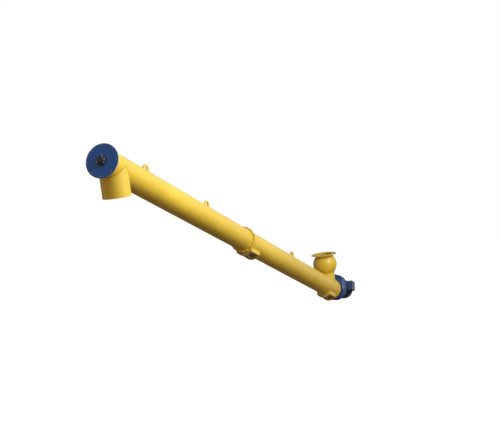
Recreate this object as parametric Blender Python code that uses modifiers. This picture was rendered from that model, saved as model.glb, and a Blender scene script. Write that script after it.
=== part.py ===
"""Tubular screw conveyor, outlet end high, drive end low, inlet flange face at the origin.

Two inclined tube sections are bolted together at a flange joint. A flanged ball inlet stands
on the lower end, an open spout hangs under the upper end, and a geared motor closes the lower
end. Metres, +Z up. The tube lies in the XZ plane and runs down towards +X.
"""
import math

import bmesh
import bpy
from mathutils import Matrix, Vector

# Touching pieces keep this gap
GAP = 0.0003

# Tube, its two sections and its slope
SLOPE = math.radians(22.0)
TUBE_RADIUS = 0.1365
TUBE_WALL = 0.005
BORE_RADIUS = TUBE_RADIUS - TUBE_WALL
JOINT_STATION = 3.600
TUBE_LENGTH = 7.150
TUBE_SIDES = 48

# Flanges of the tube
FLANGE_RADIUS = 0.160
OUTLET_FLANGE_RADIUS = 0.170
DRIVE_FLANGE_RADIUS = 0.153
FLANGE_THICKNESS = 0.012

# Outlet end plate, bearing and cap
PLATE_RADIUS = 0.1725
PLATE_THICKNESS = 0.012
HOUSING_RADIUS = 0.054
HOUSING_NOSE_RADIUS = 0.036
HOUSING_STEP = 0.014
HOUSING_DEPTH = 0.036
CAP_RADIUS = 0.032
CAP_THICKNESS = 0.008

# Outlet spout, a vertical sleeve under the upper end
SPOUT_STATION = 0.218
SPOUT_RADIUS = 0.1415
SPOUT_WALL = 0.0045
SPOUT_DROP = 0.300
SPOUT_HOLE_RADIUS = 0.130

# Ball inlet, on a vertical axis above the lower end
INLET_STATION = 7.000
INLET_HEIGHT = 0.500
INLET_RING_RADIUS = 0.155
NECK_RADIUS = 0.1225
NECK_BORE = 0.1175
BALL_RADIUS = 0.174
BALL_WALL = 0.006
BALL_DEPTH = 0.153
INLET_FLANGE_RADIUS = 0.187
INLET_FLANGE_THICKNESS = 0.008
INLET_BOLT_COUNT = 8
INLET_BOLT_HOLE = 0.009
BALL_SIDES = 40
BALL_RINGS = 10

# Lifting lugs on top of the tube
LUG_STATIONS = (0.926, 2.490, 5.400)
LUG_LENGTH = 0.150
LUG_HEIGHT = 0.080
LUG_THICKNESS = 0.016
LUG_HOLE_RADIUS = 0.025
LUG_HOLE_RISE = 0.040

# Inspection hatches under the tube
HATCH_STATIONS = {"mid_hatch": 3.640, "end_hatch": 6.790}
HATCH_LENGTH = 0.270
HATCH_HALF_WIDTH = 0.102
HATCH_WALL = 0.008
HATCH_DEPTH = 0.144
COVER_HALF_WIDTH = 0.098
COVER_PLATE = 0.006
CHEEK_HALF_WIDTH = 0.090
CHEEK_DEPTH = 0.194
CHEEK_THICKNESS = 0.014
CLAMP_BAR_RADIUS = 0.009
CLAMP_BAR_DEPTH = 0.165
KNOB_STATION = 0.150
KNOB_RADIUS = 0.013
KNOB_DEPTH = 0.016

# Conveying screw
SHAFT_RADIUS = 0.0445
JOURNAL_RADIUS = 0.030
JOURNAL_BORE = JOURNAL_RADIUS + GAP
FLIGHT_INNER_RADIUS = 0.0455
FLIGHT_RADIUS = 0.125
FLIGHT_THICKNESS = 0.006
FLIGHT_PITCH = 0.250
FLIGHT_STEPS = 20
FLIGHT_START = 0.060
FLIGHT_TURNS = 28

# Drive at the lower end
ADAPTER_THICKNESS = 0.016
ADAPTER_NECK_RADIUS = 0.125
ADAPTER_NECK_LENGTH = 0.088
CASE_RISE = 0.022
CASE_DISC_RADIUS = 0.180
CASE_DISC_DEPTH = 0.075
CASE_CHAMFER = 0.030
CASE_FOOT_DEPTH = 0.140
CASE_RADIUS = 0.150
CASE_LENGTH = 0.178
CASE_CROWN_RISE = 0.105
CASE_CROWN_RADIUS = 0.147
MOTOR_RISE = 0.105
MOTOR_FLANGE_RADIUS = 0.157
MOTOR_FLANGE_THICKNESS = 0.020
MOTOR_RADIUS = 0.132
MOTOR_LENGTH = 0.280
COWL_RADIUS = 0.139
COWL_CHAMFER = 0.006
COWL_LENGTH = 0.110
TERMINAL_BOX_SIZE = (0.148, 0.116, 0.144)
TERMINAL_BOX_MIDDLE = (7.648, -0.150, 0.123)

# Colours as linear RGB
YELLOW_PAINT = ("yellow_paint", (0.78, 0.54, 0.06), 0.45, 0.0)
BLUE_PAINT = ("blue_paint", (0.022, 0.060, 0.165), 0.40, 0.0)
DRIVE_PAINT = ("drive_paint", (0.016, 0.052, 0.150), 0.42, 0.0)
DARK_CAST = ("dark_cast", (0.010, 0.016, 0.040), 0.50, 0.2)
STEEL = ("worn_steel", (0.36, 0.35, 0.33), 0.38, 0.9)


def clear_scene():
    """Remove the objects that the file starts with."""
    for obj in list(bpy.data.objects):
        bpy.data.objects.remove(obj, do_unlink=True)


def make_collection(name):
    """Make a collection in the scene."""
    collection = bpy.data.collections.new(name)
    bpy.context.scene.collection.children.link(collection)
    return collection


def make_empty(name, collection, location, tilt=0.0):
    """Make an empty that pieces are placed from."""
    empty = bpy.data.objects.new(name, None)
    empty.location = location
    empty.rotation_euler = (0.0, tilt, 0.0)
    empty.empty_display_size = 0.1
    collection.objects.link(empty)
    return empty


def make_material(node_name, finish):
    """Give a sub-part its own Principled material."""
    label, colour, roughness, metallic = finish
    material = bpy.data.materials.new(f"{node_name}_{label}")
    material.use_nodes = True
    shader = material.node_tree.nodes["Principled BSDF"]
    shader.inputs["Base Color"].default_value = (*colour, 1.0)
    shader.inputs["Roughness"].default_value = roughness
    shader.inputs["Metallic"].default_value = metallic
    material.diffuse_color = (*colour, 1.0)
    return material


class Shop:
    """Holds the collections and the two frames that pieces are placed in."""

    def __init__(self):
        self.pieces = make_collection("screw_conveyor")
        self.cutters = make_collection("cutters")
        inlet_x = INLET_RING_RADIUS
        self.upright = make_empty("inlet_axis", self.pieces, (inlet_x, 0.0, 0.0))
        start = Vector((inlet_x, 0.0, -INLET_HEIGHT))
        start -= tube_direction() * INLET_STATION
        self.sloped = make_empty("tube_axis", self.pieces, start, SLOPE)
        spout = start + tube_direction() * SPOUT_STATION
        self.spout = make_empty("spout_axis", self.pieces, spout)

    def add(self, name, mesh, parent, finish=None, matrix=None):
        """Link a mesh as a piece, or as a cutter when it has no finish."""
        obj = bpy.data.objects.new(name, mesh)
        obj.parent = parent
        if matrix is not None:
            obj.matrix_local = matrix
        if finish is None:
            self.cutters.objects.link(obj)
            obj.hide_render = True
            obj.display_type = "WIRE"
        else:
            self.pieces.objects.link(obj)
            mesh.materials.append(make_material(name, finish))
        return obj


def tube_direction():
    """Direction of the tube, from the outlet down to the drive."""
    return Vector((math.cos(SLOPE), 0.0, -math.sin(SLOPE)))


def along_tube(station, across=0.0, above=0.0):
    """Matrix in the tube's frame whose Z axis runs along the tube."""
    return Matrix.Translation((station, across, above)) @ Matrix.Rotation(math.pi / 2, 4, "Y")


def facing_down_tube():
    """Matrix in the tube's frame that stands a flat outline across the tube."""
    return Matrix.Rotation(math.pi / 2, 4, "Z") @ Matrix.Rotation(math.pi / 2, 4, "X")


def box_mesh(name, low, high):
    """Box between two corners."""
    mesh = bpy.data.meshes.new(name)
    bm = bmesh.new()
    size = [b - a for a, b in zip(low, high)]
    middle = [(a + b) / 2 for a, b in zip(low, high)]
    place = Matrix.Translation(middle) @ Matrix.Diagonal((*size, 1.0))
    bmesh.ops.create_cube(bm, size=1.0, matrix=place)
    bm.to_mesh(mesh)
    bm.free()
    return mesh


def cylinder_mesh(name, radius, start, end, sides=TUBE_SIDES):
    """Cylinder on the Z axis."""
    mesh = bpy.data.meshes.new(name)
    bm = bmesh.new()
    place = Matrix.Translation((0.0, 0.0, (start + end) / 2))
    bmesh.ops.create_cone(bm, cap_ends=True, segments=sides, radius1=radius, radius2=radius,
                          depth=end - start, matrix=place)
    bm.to_mesh(mesh)
    bm.free()
    return mesh


def profile_mesh(name, points, closed):
    """Profile at +X for a turned shape, running down its outer side."""
    mesh = bpy.data.meshes.new(name)
    edges = [(i, i + 1) for i in range(len(points) - 1)]
    if closed:
        edges.append((len(points) - 1, 0))
    mesh.from_pydata([(r, 0.0, z) for r, z in points], edges, [])
    return mesh


def turn(obj, sides=TUBE_SIDES):
    """Turn a profile about the object's Z axis."""
    screw = obj.modifiers.new("turn", "SCREW")
    screw.axis = "Z"
    screw.angle = 2 * math.pi
    screw.steps = sides
    screw.render_steps = sides
    screw.use_merge_vertices = True
    screw.merge_threshold = 0.00001
    screw.use_smooth_shade = True
    return obj


def ring_profile(outer, inner, start, end):
    """Closed profile of a plain ring."""
    return [(outer, end), (outer, start), (inner, start), (inner, end)]


def boolean(obj, operation, other):
    """Add one exact Boolean modifier."""
    modifier = obj.modifiers.new(operation.lower(), "BOOLEAN")
    modifier.operation = operation
    modifier.solver = "EXACT"
    modifier.object = other
    return modifier


def outline_mesh(shop, name, points, start, end):
    """Plate with a flat outline in XY, between two heights, as a welded mesh."""
    curve = bpy.data.curves.new(name, "CURVE")
    curve.dimensions = "2D"
    curve.fill_mode = "BOTH"
    curve.extrude = (end - start) / 2
    spline = curve.splines.new("POLY")
    spline.points.add(len(points) - 1)
    for place, (x, y) in zip(spline.points, points):
        place.co = (x, y, 0.0, 1.0)
    spline.use_cyclic_u = True
    holder = bpy.data.objects.new(name, curve)
    shop.cutters.objects.link(holder)
    bpy.context.view_layer.update()
    graph = bpy.context.evaluated_depsgraph_get()
    mesh = bpy.data.meshes.new_from_object(holder.evaluated_get(graph))
    bpy.data.objects.remove(holder, do_unlink=True)
    bm = bmesh.new()
    bm.from_mesh(mesh)
    bmesh.ops.remove_doubles(bm, verts=bm.verts, dist=0.00001)
    bmesh.ops.translate(bm, verts=bm.verts, vec=(0.0, 0.0, (start + end) / 2))
    bmesh.ops.recalc_face_normals(bm, faces=bm.faces)
    bm.to_mesh(mesh)
    bm.free()
    return mesh


def arc_points(centre, radius, first, last, count):
    """Points along an arc, angles in degrees."""
    points = []
    for i in range(count + 1):
        angle = math.radians(first + (last - first) * i / count)
        points.append((centre[0] + radius * math.cos(angle), centre[1] + radius * math.sin(angle)))
    return points


def sagging_outline(half_width, top, bottom, count=14):
    """Flat top edge closed by one round belly below it."""
    sag = top - bottom
    radius = (half_width ** 2 + sag ** 2) / (2 * sag)
    centre = (0.0, bottom + radius)
    spread = math.degrees(math.asin(min(1.0, half_width / radius)))
    if sag > radius:
        spread = 180.0 - spread
    return arc_points(centre, radius, -90.0 - spread, -90.0 + spread, count)


def make_tube_sections(shop):
    """Two hollow tube sections, cut for the spout, the hatches and the inlet."""
    seam = JOINT_STATION
    first = PLATE_THICKNESS + GAP
    spans = {"upper_tube": (first, seam - GAP / 2), "lower_tube": (seam + GAP / 2, TUBE_LENGTH)}
    tubes = {}
    for name, (start, end) in spans.items():
        profile = ring_profile(TUBE_RADIUS, BORE_RADIUS, start, end)
        mesh = profile_mesh(name, profile, True)
        tubes[name] = turn(shop.add(name, mesh, shop.sloped, YELLOW_PAINT, along_tube(0.0)))

    hole = cylinder_mesh("spout_hole", SPOUT_HOLE_RADIUS, -0.2, 0.0)
    boolean(tubes["upper_tube"], "DIFFERENCE", shop.add("spout_hole", hole, shop.spout))

    bottom = -INLET_HEIGHT
    hole = cylinder_mesh("inlet_hole", NECK_BORE, bottom, bottom + 0.25)
    boolean(tubes["lower_tube"], "DIFFERENCE", shop.add("inlet_hole", hole, shop.upright))

    inside = HATCH_HALF_WIDTH - 2 * HATCH_WALL
    for hatch, station in HATCH_STATIONS.items():
        low = (station + 0.020, -inside, -0.2)
        high = (station + HATCH_LENGTH - 0.020, inside, -0.05)
        hole = shop.add(f"{hatch}_hole", box_mesh(f"{hatch}_hole", low, high), shop.sloped)
        boolean(tubes["lower_tube"], "DIFFERENCE", hole)


def make_flanges(shop):
    """Flat rings round the ends of both tube sections."""
    inner = TUBE_RADIUS + GAP
    width = FLANGE_THICKNESS
    after_plate = PLATE_THICKNESS + GAP
    joint = JOINT_STATION
    spans = {
        "outlet_flange": (OUTLET_FLANGE_RADIUS, after_plate, after_plate + width),
        "joint_flange_upper": (FLANGE_RADIUS, joint - GAP / 2 - width, joint - GAP / 2),
        "joint_flange_lower": (FLANGE_RADIUS, joint + GAP / 2, joint + GAP / 2 + width),
        "drive_end_flange": (DRIVE_FLANGE_RADIUS, TUBE_LENGTH - width, TUBE_LENGTH),
    }
    for name, (outer, start, end) in spans.items():
        profile = ring_profile(outer, inner, start, end)
        mesh = profile_mesh(name, profile, True)
        turn(shop.add(name, mesh, shop.sloped, YELLOW_PAINT, along_tube(0.0)))


def make_outlet_end(shop):
    """Round blue end plate with the bearing housing and its cap."""
    profile = ring_profile(PLATE_RADIUS, JOURNAL_BORE, 0.0, PLATE_THICKNESS)
    mesh = profile_mesh("outlet_end_plate", profile, True)
    turn(shop.add("outlet_end_plate", mesh, shop.sloped, BLUE_PAINT, along_tube(0.0)))

    nose = -GAP - HOUSING_DEPTH
    profile = [
        (HOUSING_RADIUS, -GAP), (HOUSING_RADIUS, -HOUSING_STEP),
        (HOUSING_NOSE_RADIUS, -HOUSING_STEP), (HOUSING_NOSE_RADIUS, nose),
        (JOURNAL_BORE, nose), (JOURNAL_BORE, -GAP),
    ]
    mesh = profile_mesh("outlet_bearing_housing", profile, True)
    turn(shop.add("outlet_bearing_housing", mesh, shop.sloped, DARK_CAST, along_tube(0.0)))

    back = nose - GAP
    front = back - CAP_THICKNESS
    profile = [(0.0, back), (CAP_RADIUS, back), (CAP_RADIUS, front + 0.003),
               (CAP_RADIUS - 0.003, front), (0.0, front)]
    mesh = profile_mesh("outlet_bearing_cap", profile, False)
    turn(shop.add("outlet_bearing_cap", mesh, shop.sloped, DARK_CAST, along_tube(0.0)))


def make_spout(shop):
    """Open vertical sleeve that meets the tube in a mitred saddle."""
    profile = ring_profile(SPOUT_RADIUS, SPOUT_RADIUS - SPOUT_WALL, -SPOUT_DROP, 0.1)
    spout = shop.add("outlet_spout", profile_mesh("outlet_spout", profile, True), shop.spout,
                     YELLOW_PAINT)
    turn(spout)

    kept = box_mesh("below_mitre", (0.0, -0.3, -1.0), (1.0, 0.3, 0.0))
    mitre = Matrix.Rotation(math.pi / 4 + SLOPE / 2, 4, "Y")
    boolean(spout, "INTERSECT", shop.add("below_mitre", kept, shop.spout, None, mitre))

    pipe = cylinder_mesh("tube_body", TUBE_RADIUS + GAP, -0.5, 1.0)
    boolean(spout, "DIFFERENCE", shop.add("tube_body", pipe, shop.sloped, None, along_tube(0.0)))


def make_inlet(shop):
    """Stub, hollow ball, neck and bolting flange on the vertical inlet axis."""
    reach = math.sqrt(BALL_RADIUS ** 2 - NECK_RADIUS ** 2)
    ball_top = -BALL_DEPTH + reach
    ball_bottom = -BALL_DEPTH - reach
    tilt = math.degrees(math.asin(NECK_RADIUS / BALL_RADIUS))
    inner_radius = BALL_RADIUS - BALL_WALL
    inner_tilt = math.degrees(math.asin(NECK_BORE / inner_radius))

    profile = ring_profile(NECK_RADIUS, NECK_BORE, -INLET_HEIGHT, ball_bottom - GAP)
    mesh = profile_mesh("inlet_stub", profile, True)
    stub = turn(shop.add("inlet_stub", mesh, shop.upright, YELLOW_PAINT))
    pipe = cylinder_mesh("tube_under_inlet", TUBE_RADIUS + GAP, 6.5, 7.5)
    cutter = shop.add("tube_under_inlet", pipe, shop.sloped, None, along_tube(0.0))
    boolean(stub, "DIFFERENCE", cutter)
    below = box_mesh("below_axis", (6.5, -0.3, -0.4), (7.5, 0.3, 0.0))
    boolean(stub, "DIFFERENCE", shop.add("below_axis", below, shop.sloped))

    centre = (0.0, -BALL_DEPTH)
    outer = arc_points(centre, BALL_RADIUS, 90.0 - tilt, tilt - 90.0, BALL_RINGS)
    inner = arc_points(centre, inner_radius, inner_tilt - 90.0, 90.0 - inner_tilt, BALL_RINGS)
    mesh = profile_mesh("inlet_ball", outer + inner, True)
    turn(shop.add("inlet_ball", mesh, shop.upright, YELLOW_PAINT), BALL_SIDES)

    neck_end = -INLET_FLANGE_THICKNESS - GAP
    profile = ring_profile(NECK_RADIUS, NECK_BORE, ball_top + GAP, neck_end)
    mesh = profile_mesh("inlet_neck", profile, True)
    turn(shop.add("inlet_neck", mesh, shop.upright, YELLOW_PAINT))

    profile = ring_profile(INLET_FLANGE_RADIUS, NECK_BORE, -INLET_FLANGE_THICKNESS, 0.0)
    mesh = profile_mesh("inlet_flange", profile, True)
    flange = turn(shop.add("inlet_flange", mesh, shop.upright, YELLOW_PAINT))
    for number in range(INLET_BOLT_COUNT):
        angle = 2 * math.pi * (number + 0.5) / INLET_BOLT_COUNT
        name = f"inlet_bolt_hole_{number + 1}"
        hole = cylinder_mesh(name, INLET_BOLT_HOLE, -0.03, 0.02, 12)
        spot = (INLET_RING_RADIUS * math.cos(angle), INLET_RING_RADIUS * math.sin(angle), 0.0)
        place = Matrix.Translation(spot)
        boolean(flange, "DIFFERENCE", shop.add(name, hole, shop.upright, None, place))


def make_lifting_lugs(shop):
    """Round-topped plates standing on the crown of the tube."""
    foot = TUBE_RADIUS + GAP
    half = LUG_LENGTH / 2
    rise = LUG_HEIGHT - half
    outline = [(-half, foot)] + arc_points((0.0, foot + rise), half, 180.0, 0.0, 16)
    outline.append((half, foot))
    mesh = outline_mesh(shop, "lifting_lug", outline, -LUG_THICKNESS / 2, LUG_THICKNESS / 2)
    upright = Matrix.Rotation(math.pi / 2, 4, "X")
    mesh.transform(upright)
    eye_height = foot + LUG_HOLE_RISE
    for number, station in enumerate(LUG_STATIONS, start=1):
        name = f"lifting_lug_{number}"
        place = Matrix.Translation((station, 0.0, 0.0))
        lug = shop.add(name, mesh.copy(), shop.sloped, YELLOW_PAINT, place)
        eye = cylinder_mesh(f"{name}_eye", LUG_HOLE_RADIUS, -0.05, 0.05, 24)
        turned = Matrix.Translation((station, 0.0, eye_height)) @ upright
        boolean(lug, "DIFFERENCE", shop.add(f"{name}_eye", eye, shop.sloped, None, turned))


def make_hatch(shop, name, station):
    """Inspection hatch: welded frame, flat cover with round cheeks, and its clamp."""
    half = HATCH_HALF_WIDTH
    end = station + HATCH_LENGTH
    depth = -HATCH_DEPTH

    frame = shop.add(f"{name}_frame", box_mesh(
        f"{name}_frame", (station, -half, depth), (end, half, -0.050)),
        shop.sloped, YELLOW_PAINT)
    inside = half - HATCH_WALL
    well = shop.add(f"{name}_well", box_mesh(
        f"{name}_well", (station + HATCH_WALL, -inside, -0.3),
        (end - HATCH_WALL, inside, 0.0)), shop.sloped)
    boolean(frame, "DIFFERENCE", well)
    pipe = cylinder_mesh(f"{name}_pipe", TUBE_RADIUS + GAP, station - 0.1, end + 0.1)
    pipe = shop.add(f"{name}_pipe", pipe, shop.sloped, None, along_tube(0.0))
    boolean(frame, "DIFFERENCE", pipe)

    top = depth - GAP
    under = top - COVER_PLATE
    plate = box_mesh(f"{name}_cover", (station, -COVER_HALF_WIDTH, under),
                     (end, COVER_HALF_WIDTH, top))
    cover = shop.add(f"{name}_cover", plate, shop.sloped, YELLOW_PAINT)
    outline = sagging_outline(CHEEK_HALF_WIDTH, under + 0.001, -CHEEK_DEPTH)
    near = station + CHEEK_THICKNESS
    far = end - CHEEK_THICKNESS
    for label, start, stop in (("near_cheek", station, near), ("far_cheek", far, end)):
        mesh = outline_mesh(shop, f"{name}_{label}", outline, start, stop)
        cheek = shop.add(f"{name}_{label}", mesh, shop.sloped, None, facing_down_tube())
        boolean(cover, "UNION", cheek)

    label = f"{name}_clamp_bar"
    mesh = cylinder_mesh(label, CLAMP_BAR_RADIUS, near + GAP, far - GAP, 20)
    shop.add(label, mesh, shop.sloped, STEEL, along_tube(0.0, 0.0, -CLAMP_BAR_DEPTH))

    label = f"{name}_clamp_knob"
    knob_top = -CLAMP_BAR_DEPTH - CLAMP_BAR_RADIUS - GAP
    mesh = cylinder_mesh(label, KNOB_RADIUS, knob_top - KNOB_DEPTH, knob_top, 20)
    place = Matrix.Translation((station + KNOB_STATION, 0.0, 0.0))
    shop.add(label, mesh, shop.sloped, STEEL, place)


def make_screw(shop):
    """Shaft with journals, and the helical flight that turns with it."""
    tip = -HOUSING_DEPTH + 0.004
    profile = [
        (0.0, 7.190), (JOURNAL_RADIUS, 7.190), (JOURNAL_RADIUS, 7.100), (SHAFT_RADIUS, 7.100),
        (SHAFT_RADIUS, 0.024), (JOURNAL_RADIUS, 0.024), (JOURNAL_RADIUS, tip), (0.0, tip),
    ]
    mesh = profile_mesh("screw_shaft", profile, False)
    turn(shop.add("screw_shaft", mesh, shop.sloped, STEEL, along_tube(0.0)), 32)

    mesh = bpy.data.meshes.new("screw_flight")
    bm = bmesh.new()
    low = FLIGHT_START
    high = FLIGHT_START + FLIGHT_THICKNESS
    corners = [(FLIGHT_INNER_RADIUS, low), (FLIGHT_RADIUS, low),
               (FLIGHT_RADIUS, high), (FLIGHT_INNER_RADIUS, high)]
    face = bm.faces.new([bm.verts.new((r, 0.0, z)) for r, z in corners])
    steps = FLIGHT_TURNS * FLIGHT_STEPS
    geometry = [face, *face.edges, *face.verts]
    bmesh.ops.spin(bm, geom=geometry, cent=(0.0, 0.0, 0.0), axis=(0.0, 0.0, 1.0),
                   dvec=(0.0, 0.0, FLIGHT_PITCH / FLIGHT_STEPS),
                   angle=2 * math.pi * FLIGHT_TURNS, steps=steps, use_duplicate=False)
    bmesh.ops.recalc_face_normals(bm, faces=bm.faces)
    bm.to_mesh(mesh)
    bm.free()
    shop.add("screw_flight", mesh, shop.sloped, STEEL, along_tube(0.0))


def make_gear_case(shop, start):
    """Reducer: a chamfered round front with a flat foot, and a deeper round-topped back."""
    disc_end = start + CASE_DISC_DEPTH
    end = start + CASE_LENGTH
    profile = [
        (0.0, disc_end), (CASE_DISC_RADIUS, disc_end),
        (CASE_DISC_RADIUS, start + CASE_CHAMFER),
        (CASE_DISC_RADIUS - CASE_CHAMFER, start), (0.0, start),
    ]
    mesh = profile_mesh("gear_case", profile, False)
    case = turn(shop.add("gear_case", mesh, shop.sloped, DRIVE_PAINT,
                         along_tube(0.0, 0.0, CASE_RISE)))
    below = box_mesh("below_foot", (start - 0.1, -0.3, -0.4), (end, 0.3, -CASE_FOOT_DEPTH))
    boolean(case, "DIFFERENCE", shop.add("below_foot", below, shop.sloped))

    outline = arc_points((0.0, CASE_RISE), CASE_RADIUS, 180.0, 360.0, 20)
    outline += arc_points((0.0, CASE_CROWN_RISE), CASE_CROWN_RADIUS, 0.0, 180.0, 20)
    mesh = outline_mesh(shop, "gear_case_back", outline, disc_end - 0.010, end)
    back = shop.add("gear_case_back", mesh, shop.sloped, None, facing_down_tube())
    boolean(case, "UNION", back)
    return end


def make_drive(shop):
    """Adapter flange, gear case and motor with its cowl and terminal box."""
    start = TUBE_LENGTH + GAP
    end = start + ADAPTER_THICKNESS
    neck_end = end + ADAPTER_NECK_LENGTH
    profile = [
        (ADAPTER_NECK_RADIUS, neck_end), (ADAPTER_NECK_RADIUS, end), (DRIVE_FLANGE_RADIUS, end),
        (DRIVE_FLANGE_RADIUS, start), (JOURNAL_BORE, start), (JOURNAL_BORE, neck_end),
    ]
    mesh = profile_mesh("drive_flange", profile, True)
    turn(shop.add("drive_flange", mesh, shop.sloped, DRIVE_PAINT, along_tube(0.0)))

    case_end = make_gear_case(shop, neck_end + GAP)
    flange_start = case_end + GAP
    body_start = flange_start + MOTOR_FLANGE_THICKNESS
    body_end = body_start + MOTOR_LENGTH
    centre = along_tube(0.0, 0.0, MOTOR_RISE)
    profile = [
        (0.0, body_end), (MOTOR_RADIUS, body_end), (MOTOR_RADIUS, body_start),
        (MOTOR_FLANGE_RADIUS, body_start), (MOTOR_FLANGE_RADIUS, flange_start),
        (0.0, flange_start),
    ]
    mesh = profile_mesh("motor_body", profile, False)
    turn(shop.add("motor_body", mesh, shop.sloped, DRIVE_PAINT, centre))

    cowl_start = body_end + GAP
    cowl_end = cowl_start + COWL_LENGTH
    profile = [(0.0, cowl_end), (COWL_RADIUS - COWL_CHAMFER, cowl_end),
               (COWL_RADIUS, cowl_end - COWL_CHAMFER), (COWL_RADIUS, cowl_start),
               (0.0, cowl_start)]
    mesh = profile_mesh("motor_fan_cowl", profile, False)
    turn(shop.add("motor_fan_cowl", mesh, shop.sloped, DRIVE_PAINT, centre))

    low = [middle - size / 2 for middle, size in zip(TERMINAL_BOX_MIDDLE, TERMINAL_BOX_SIZE)]
    high = [middle + size / 2 for middle, size in zip(TERMINAL_BOX_MIDDLE, TERMINAL_BOX_SIZE)]
    mesh = box_mesh("motor_terminal_box", low, high)
    box = shop.add("motor_terminal_box", mesh, shop.sloped, DRIVE_PAINT)
    body = cylinder_mesh("motor_clearance", MOTOR_RADIUS + GAP, body_start - 0.1, body_end + 0.1)
    boolean(box, "DIFFERENCE", shop.add("motor_clearance", body, shop.sloped, None, centre))


def main():
    """Build the whole conveyor."""
    clear_scene()
    shop = Shop()
    make_tube_sections(shop)
    make_flanges(shop)
    make_outlet_end(shop)
    make_spout(shop)
    make_inlet(shop)
    make_lifting_lugs(shop)
    for name, station in HATCH_STATIONS.items():
        make_hatch(shop, name, station)
    make_screw(shop)
    make_drive(shop)
    bpy.context.view_layer.update()


main()
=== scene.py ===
"""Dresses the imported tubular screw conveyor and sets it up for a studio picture.

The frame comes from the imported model. Each operator makes one piece or one group of like
pieces in the tube's own frame, places it in its mesh and lets it ride on its body.
"""
import math

import bmesh
import bpy
from bpy.props import FloatProperty, FloatVectorProperty, IntProperty, PointerProperty
from bpy.types import Operator, Panel, PropertyGroup
from mathutils import Matrix, Vector


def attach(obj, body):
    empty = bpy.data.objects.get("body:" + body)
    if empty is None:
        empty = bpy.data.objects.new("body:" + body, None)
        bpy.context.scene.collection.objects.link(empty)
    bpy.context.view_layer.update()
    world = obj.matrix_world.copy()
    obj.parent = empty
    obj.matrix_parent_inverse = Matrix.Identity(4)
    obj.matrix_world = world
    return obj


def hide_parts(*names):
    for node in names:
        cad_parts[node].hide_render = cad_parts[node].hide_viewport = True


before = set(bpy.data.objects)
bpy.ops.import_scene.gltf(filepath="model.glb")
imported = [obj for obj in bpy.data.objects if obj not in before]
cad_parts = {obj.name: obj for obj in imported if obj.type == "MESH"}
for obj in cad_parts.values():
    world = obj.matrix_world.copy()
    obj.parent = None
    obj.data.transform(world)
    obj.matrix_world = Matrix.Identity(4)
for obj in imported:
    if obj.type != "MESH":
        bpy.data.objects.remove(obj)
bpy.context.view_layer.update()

bl_info = {
    "name": "Screw conveyor dressing",
    "version": (1, 0, 0),
    "blender": (4, 5, 0),
    "location": "3D View > Sidebar > Conveyor",
    "description": "Paint, welds, fasteners, drive and studio for a tubular screw conveyor",
    "category": "Object",
}

# Frames of the tube, the inlet and the spout, as in the source of the solids
SLOPE = math.radians(22.0)
DOWNHILL = Vector((math.cos(SLOPE), 0.0, -math.sin(SLOPE)))
INLET_STATION = 7.000
INLET_FOOT = Vector((0.155, 0.0, -0.500))
TUBE_START = INLET_FOOT - DOWNHILL * INLET_STATION
TUBE = Matrix.Translation(TUBE_START) @ Matrix.Rotation(SLOPE, 4, "Y")
ALONG = TUBE @ Matrix.Rotation(math.pi / 2, 4, "Y")
ACROSS = TUBE @ Matrix.Rotation(math.pi / 2, 4, "Z") @ Matrix.Rotation(math.pi / 2, 4, "X")
UPRIGHT = Matrix.Translation((INLET_FOOT.x, 0.0, 0.0))
SPOUT_STATION = 0.218
SPOUT = Matrix.Translation(TUBE_START + DOWNHILL * SPOUT_STATION)

# Sizes that the solids fix, in metres
GAP = 0.0003
TUBE_RADIUS = 0.1365
TUBE_WALL = 0.005
TUBE_LENGTH = 7.150
JOINT_STATION = 3.600
OUTLET_FLANGE_RADIUS = 0.170
JOINT_FLANGE_RADIUS = 0.160
PLATE_RADIUS = 0.1725
PLATE_THICKNESS = 0.012
JOURNAL_RADIUS = 0.030
JOURNAL_BORE = JOURNAL_RADIUS + GAP
FLANGE_THICKNESS = 0.012
SPOUT_RADIUS = 0.1415
SPOUT_WALL = 0.0045
SPOUT_DROP = 0.300
NECK_RADIUS = 0.1225
NECK_BORE = 0.1175
BALL_RADIUS = 0.174
BALL_WALL = 0.006
BALL_DEPTH = 0.153
INLET_FLANGE_RADIUS = 0.187
INLET_FLANGE_THICKNESS = 0.008
INLET_BOLT_CIRCLE = 0.155
LUG_STATIONS = (0.926, 2.490, 5.400)
LUG_RADIUS = 0.075
LUG_EYE = 0.025
LUG_HALF_THICKNESS = 0.008
DRIVE_FLANGE_RADIUS = 0.153
HATCHES = {"mid_hatch": 3.640, "end_hatch": 6.790}
HATCH_LENGTH = 0.270
HATCH_HALF = 0.102
HATCH_WALL = 0.008
HATCH_DEPTH = 0.144
COVER_HALF = 0.098
COVER_PLATE = 0.006
CHEEK_HALF = 0.090
CHEEK_DEPTH = 0.194
CHEEK_THICKNESS = 0.014
CLAMP_BAR_RADIUS = 0.009
CLAMP_BAR_DEPTH = 0.165
KNOB_STATION = 0.150
SHAFT_START = 0.024
SHAFT_END = 7.100
JOURNAL_START = -0.032
JOURNAL_END = 7.190
SHAFT_RADIUS = 0.0445
FLIGHT_RADIUS = 0.125
FLIGHT_THICKNESS = 0.006
ADAPTER_THICKNESS = 0.016
ADAPTER_NECK_RADIUS = 0.125
CASE_RISE = 0.022
CASE_DISC_RADIUS = 0.180
CASE_DISC_DEPTH = 0.075
CASE_CHAMFER = 0.030
CASE_FOOT_DEPTH = 0.140
CASE_RADIUS = 0.150
CASE_CROWN_RISE = 0.105
CASE_CROWN_RADIUS = 0.147
MOTOR_RISE = 0.105
MOTOR_FLANGE_RADIUS = 0.157
COWL_RADIUS = 0.139
CASE_START = 7.2546
CASE_END = 7.4326
MOTOR_START = 7.4529
COWL_START = 7.7332
COWL_END = 7.8430
BOX_LOW = Vector((7.574, -0.208, 0.051))
BOX_HIGH = Vector((7.722, -0.092, 0.195))

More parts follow.
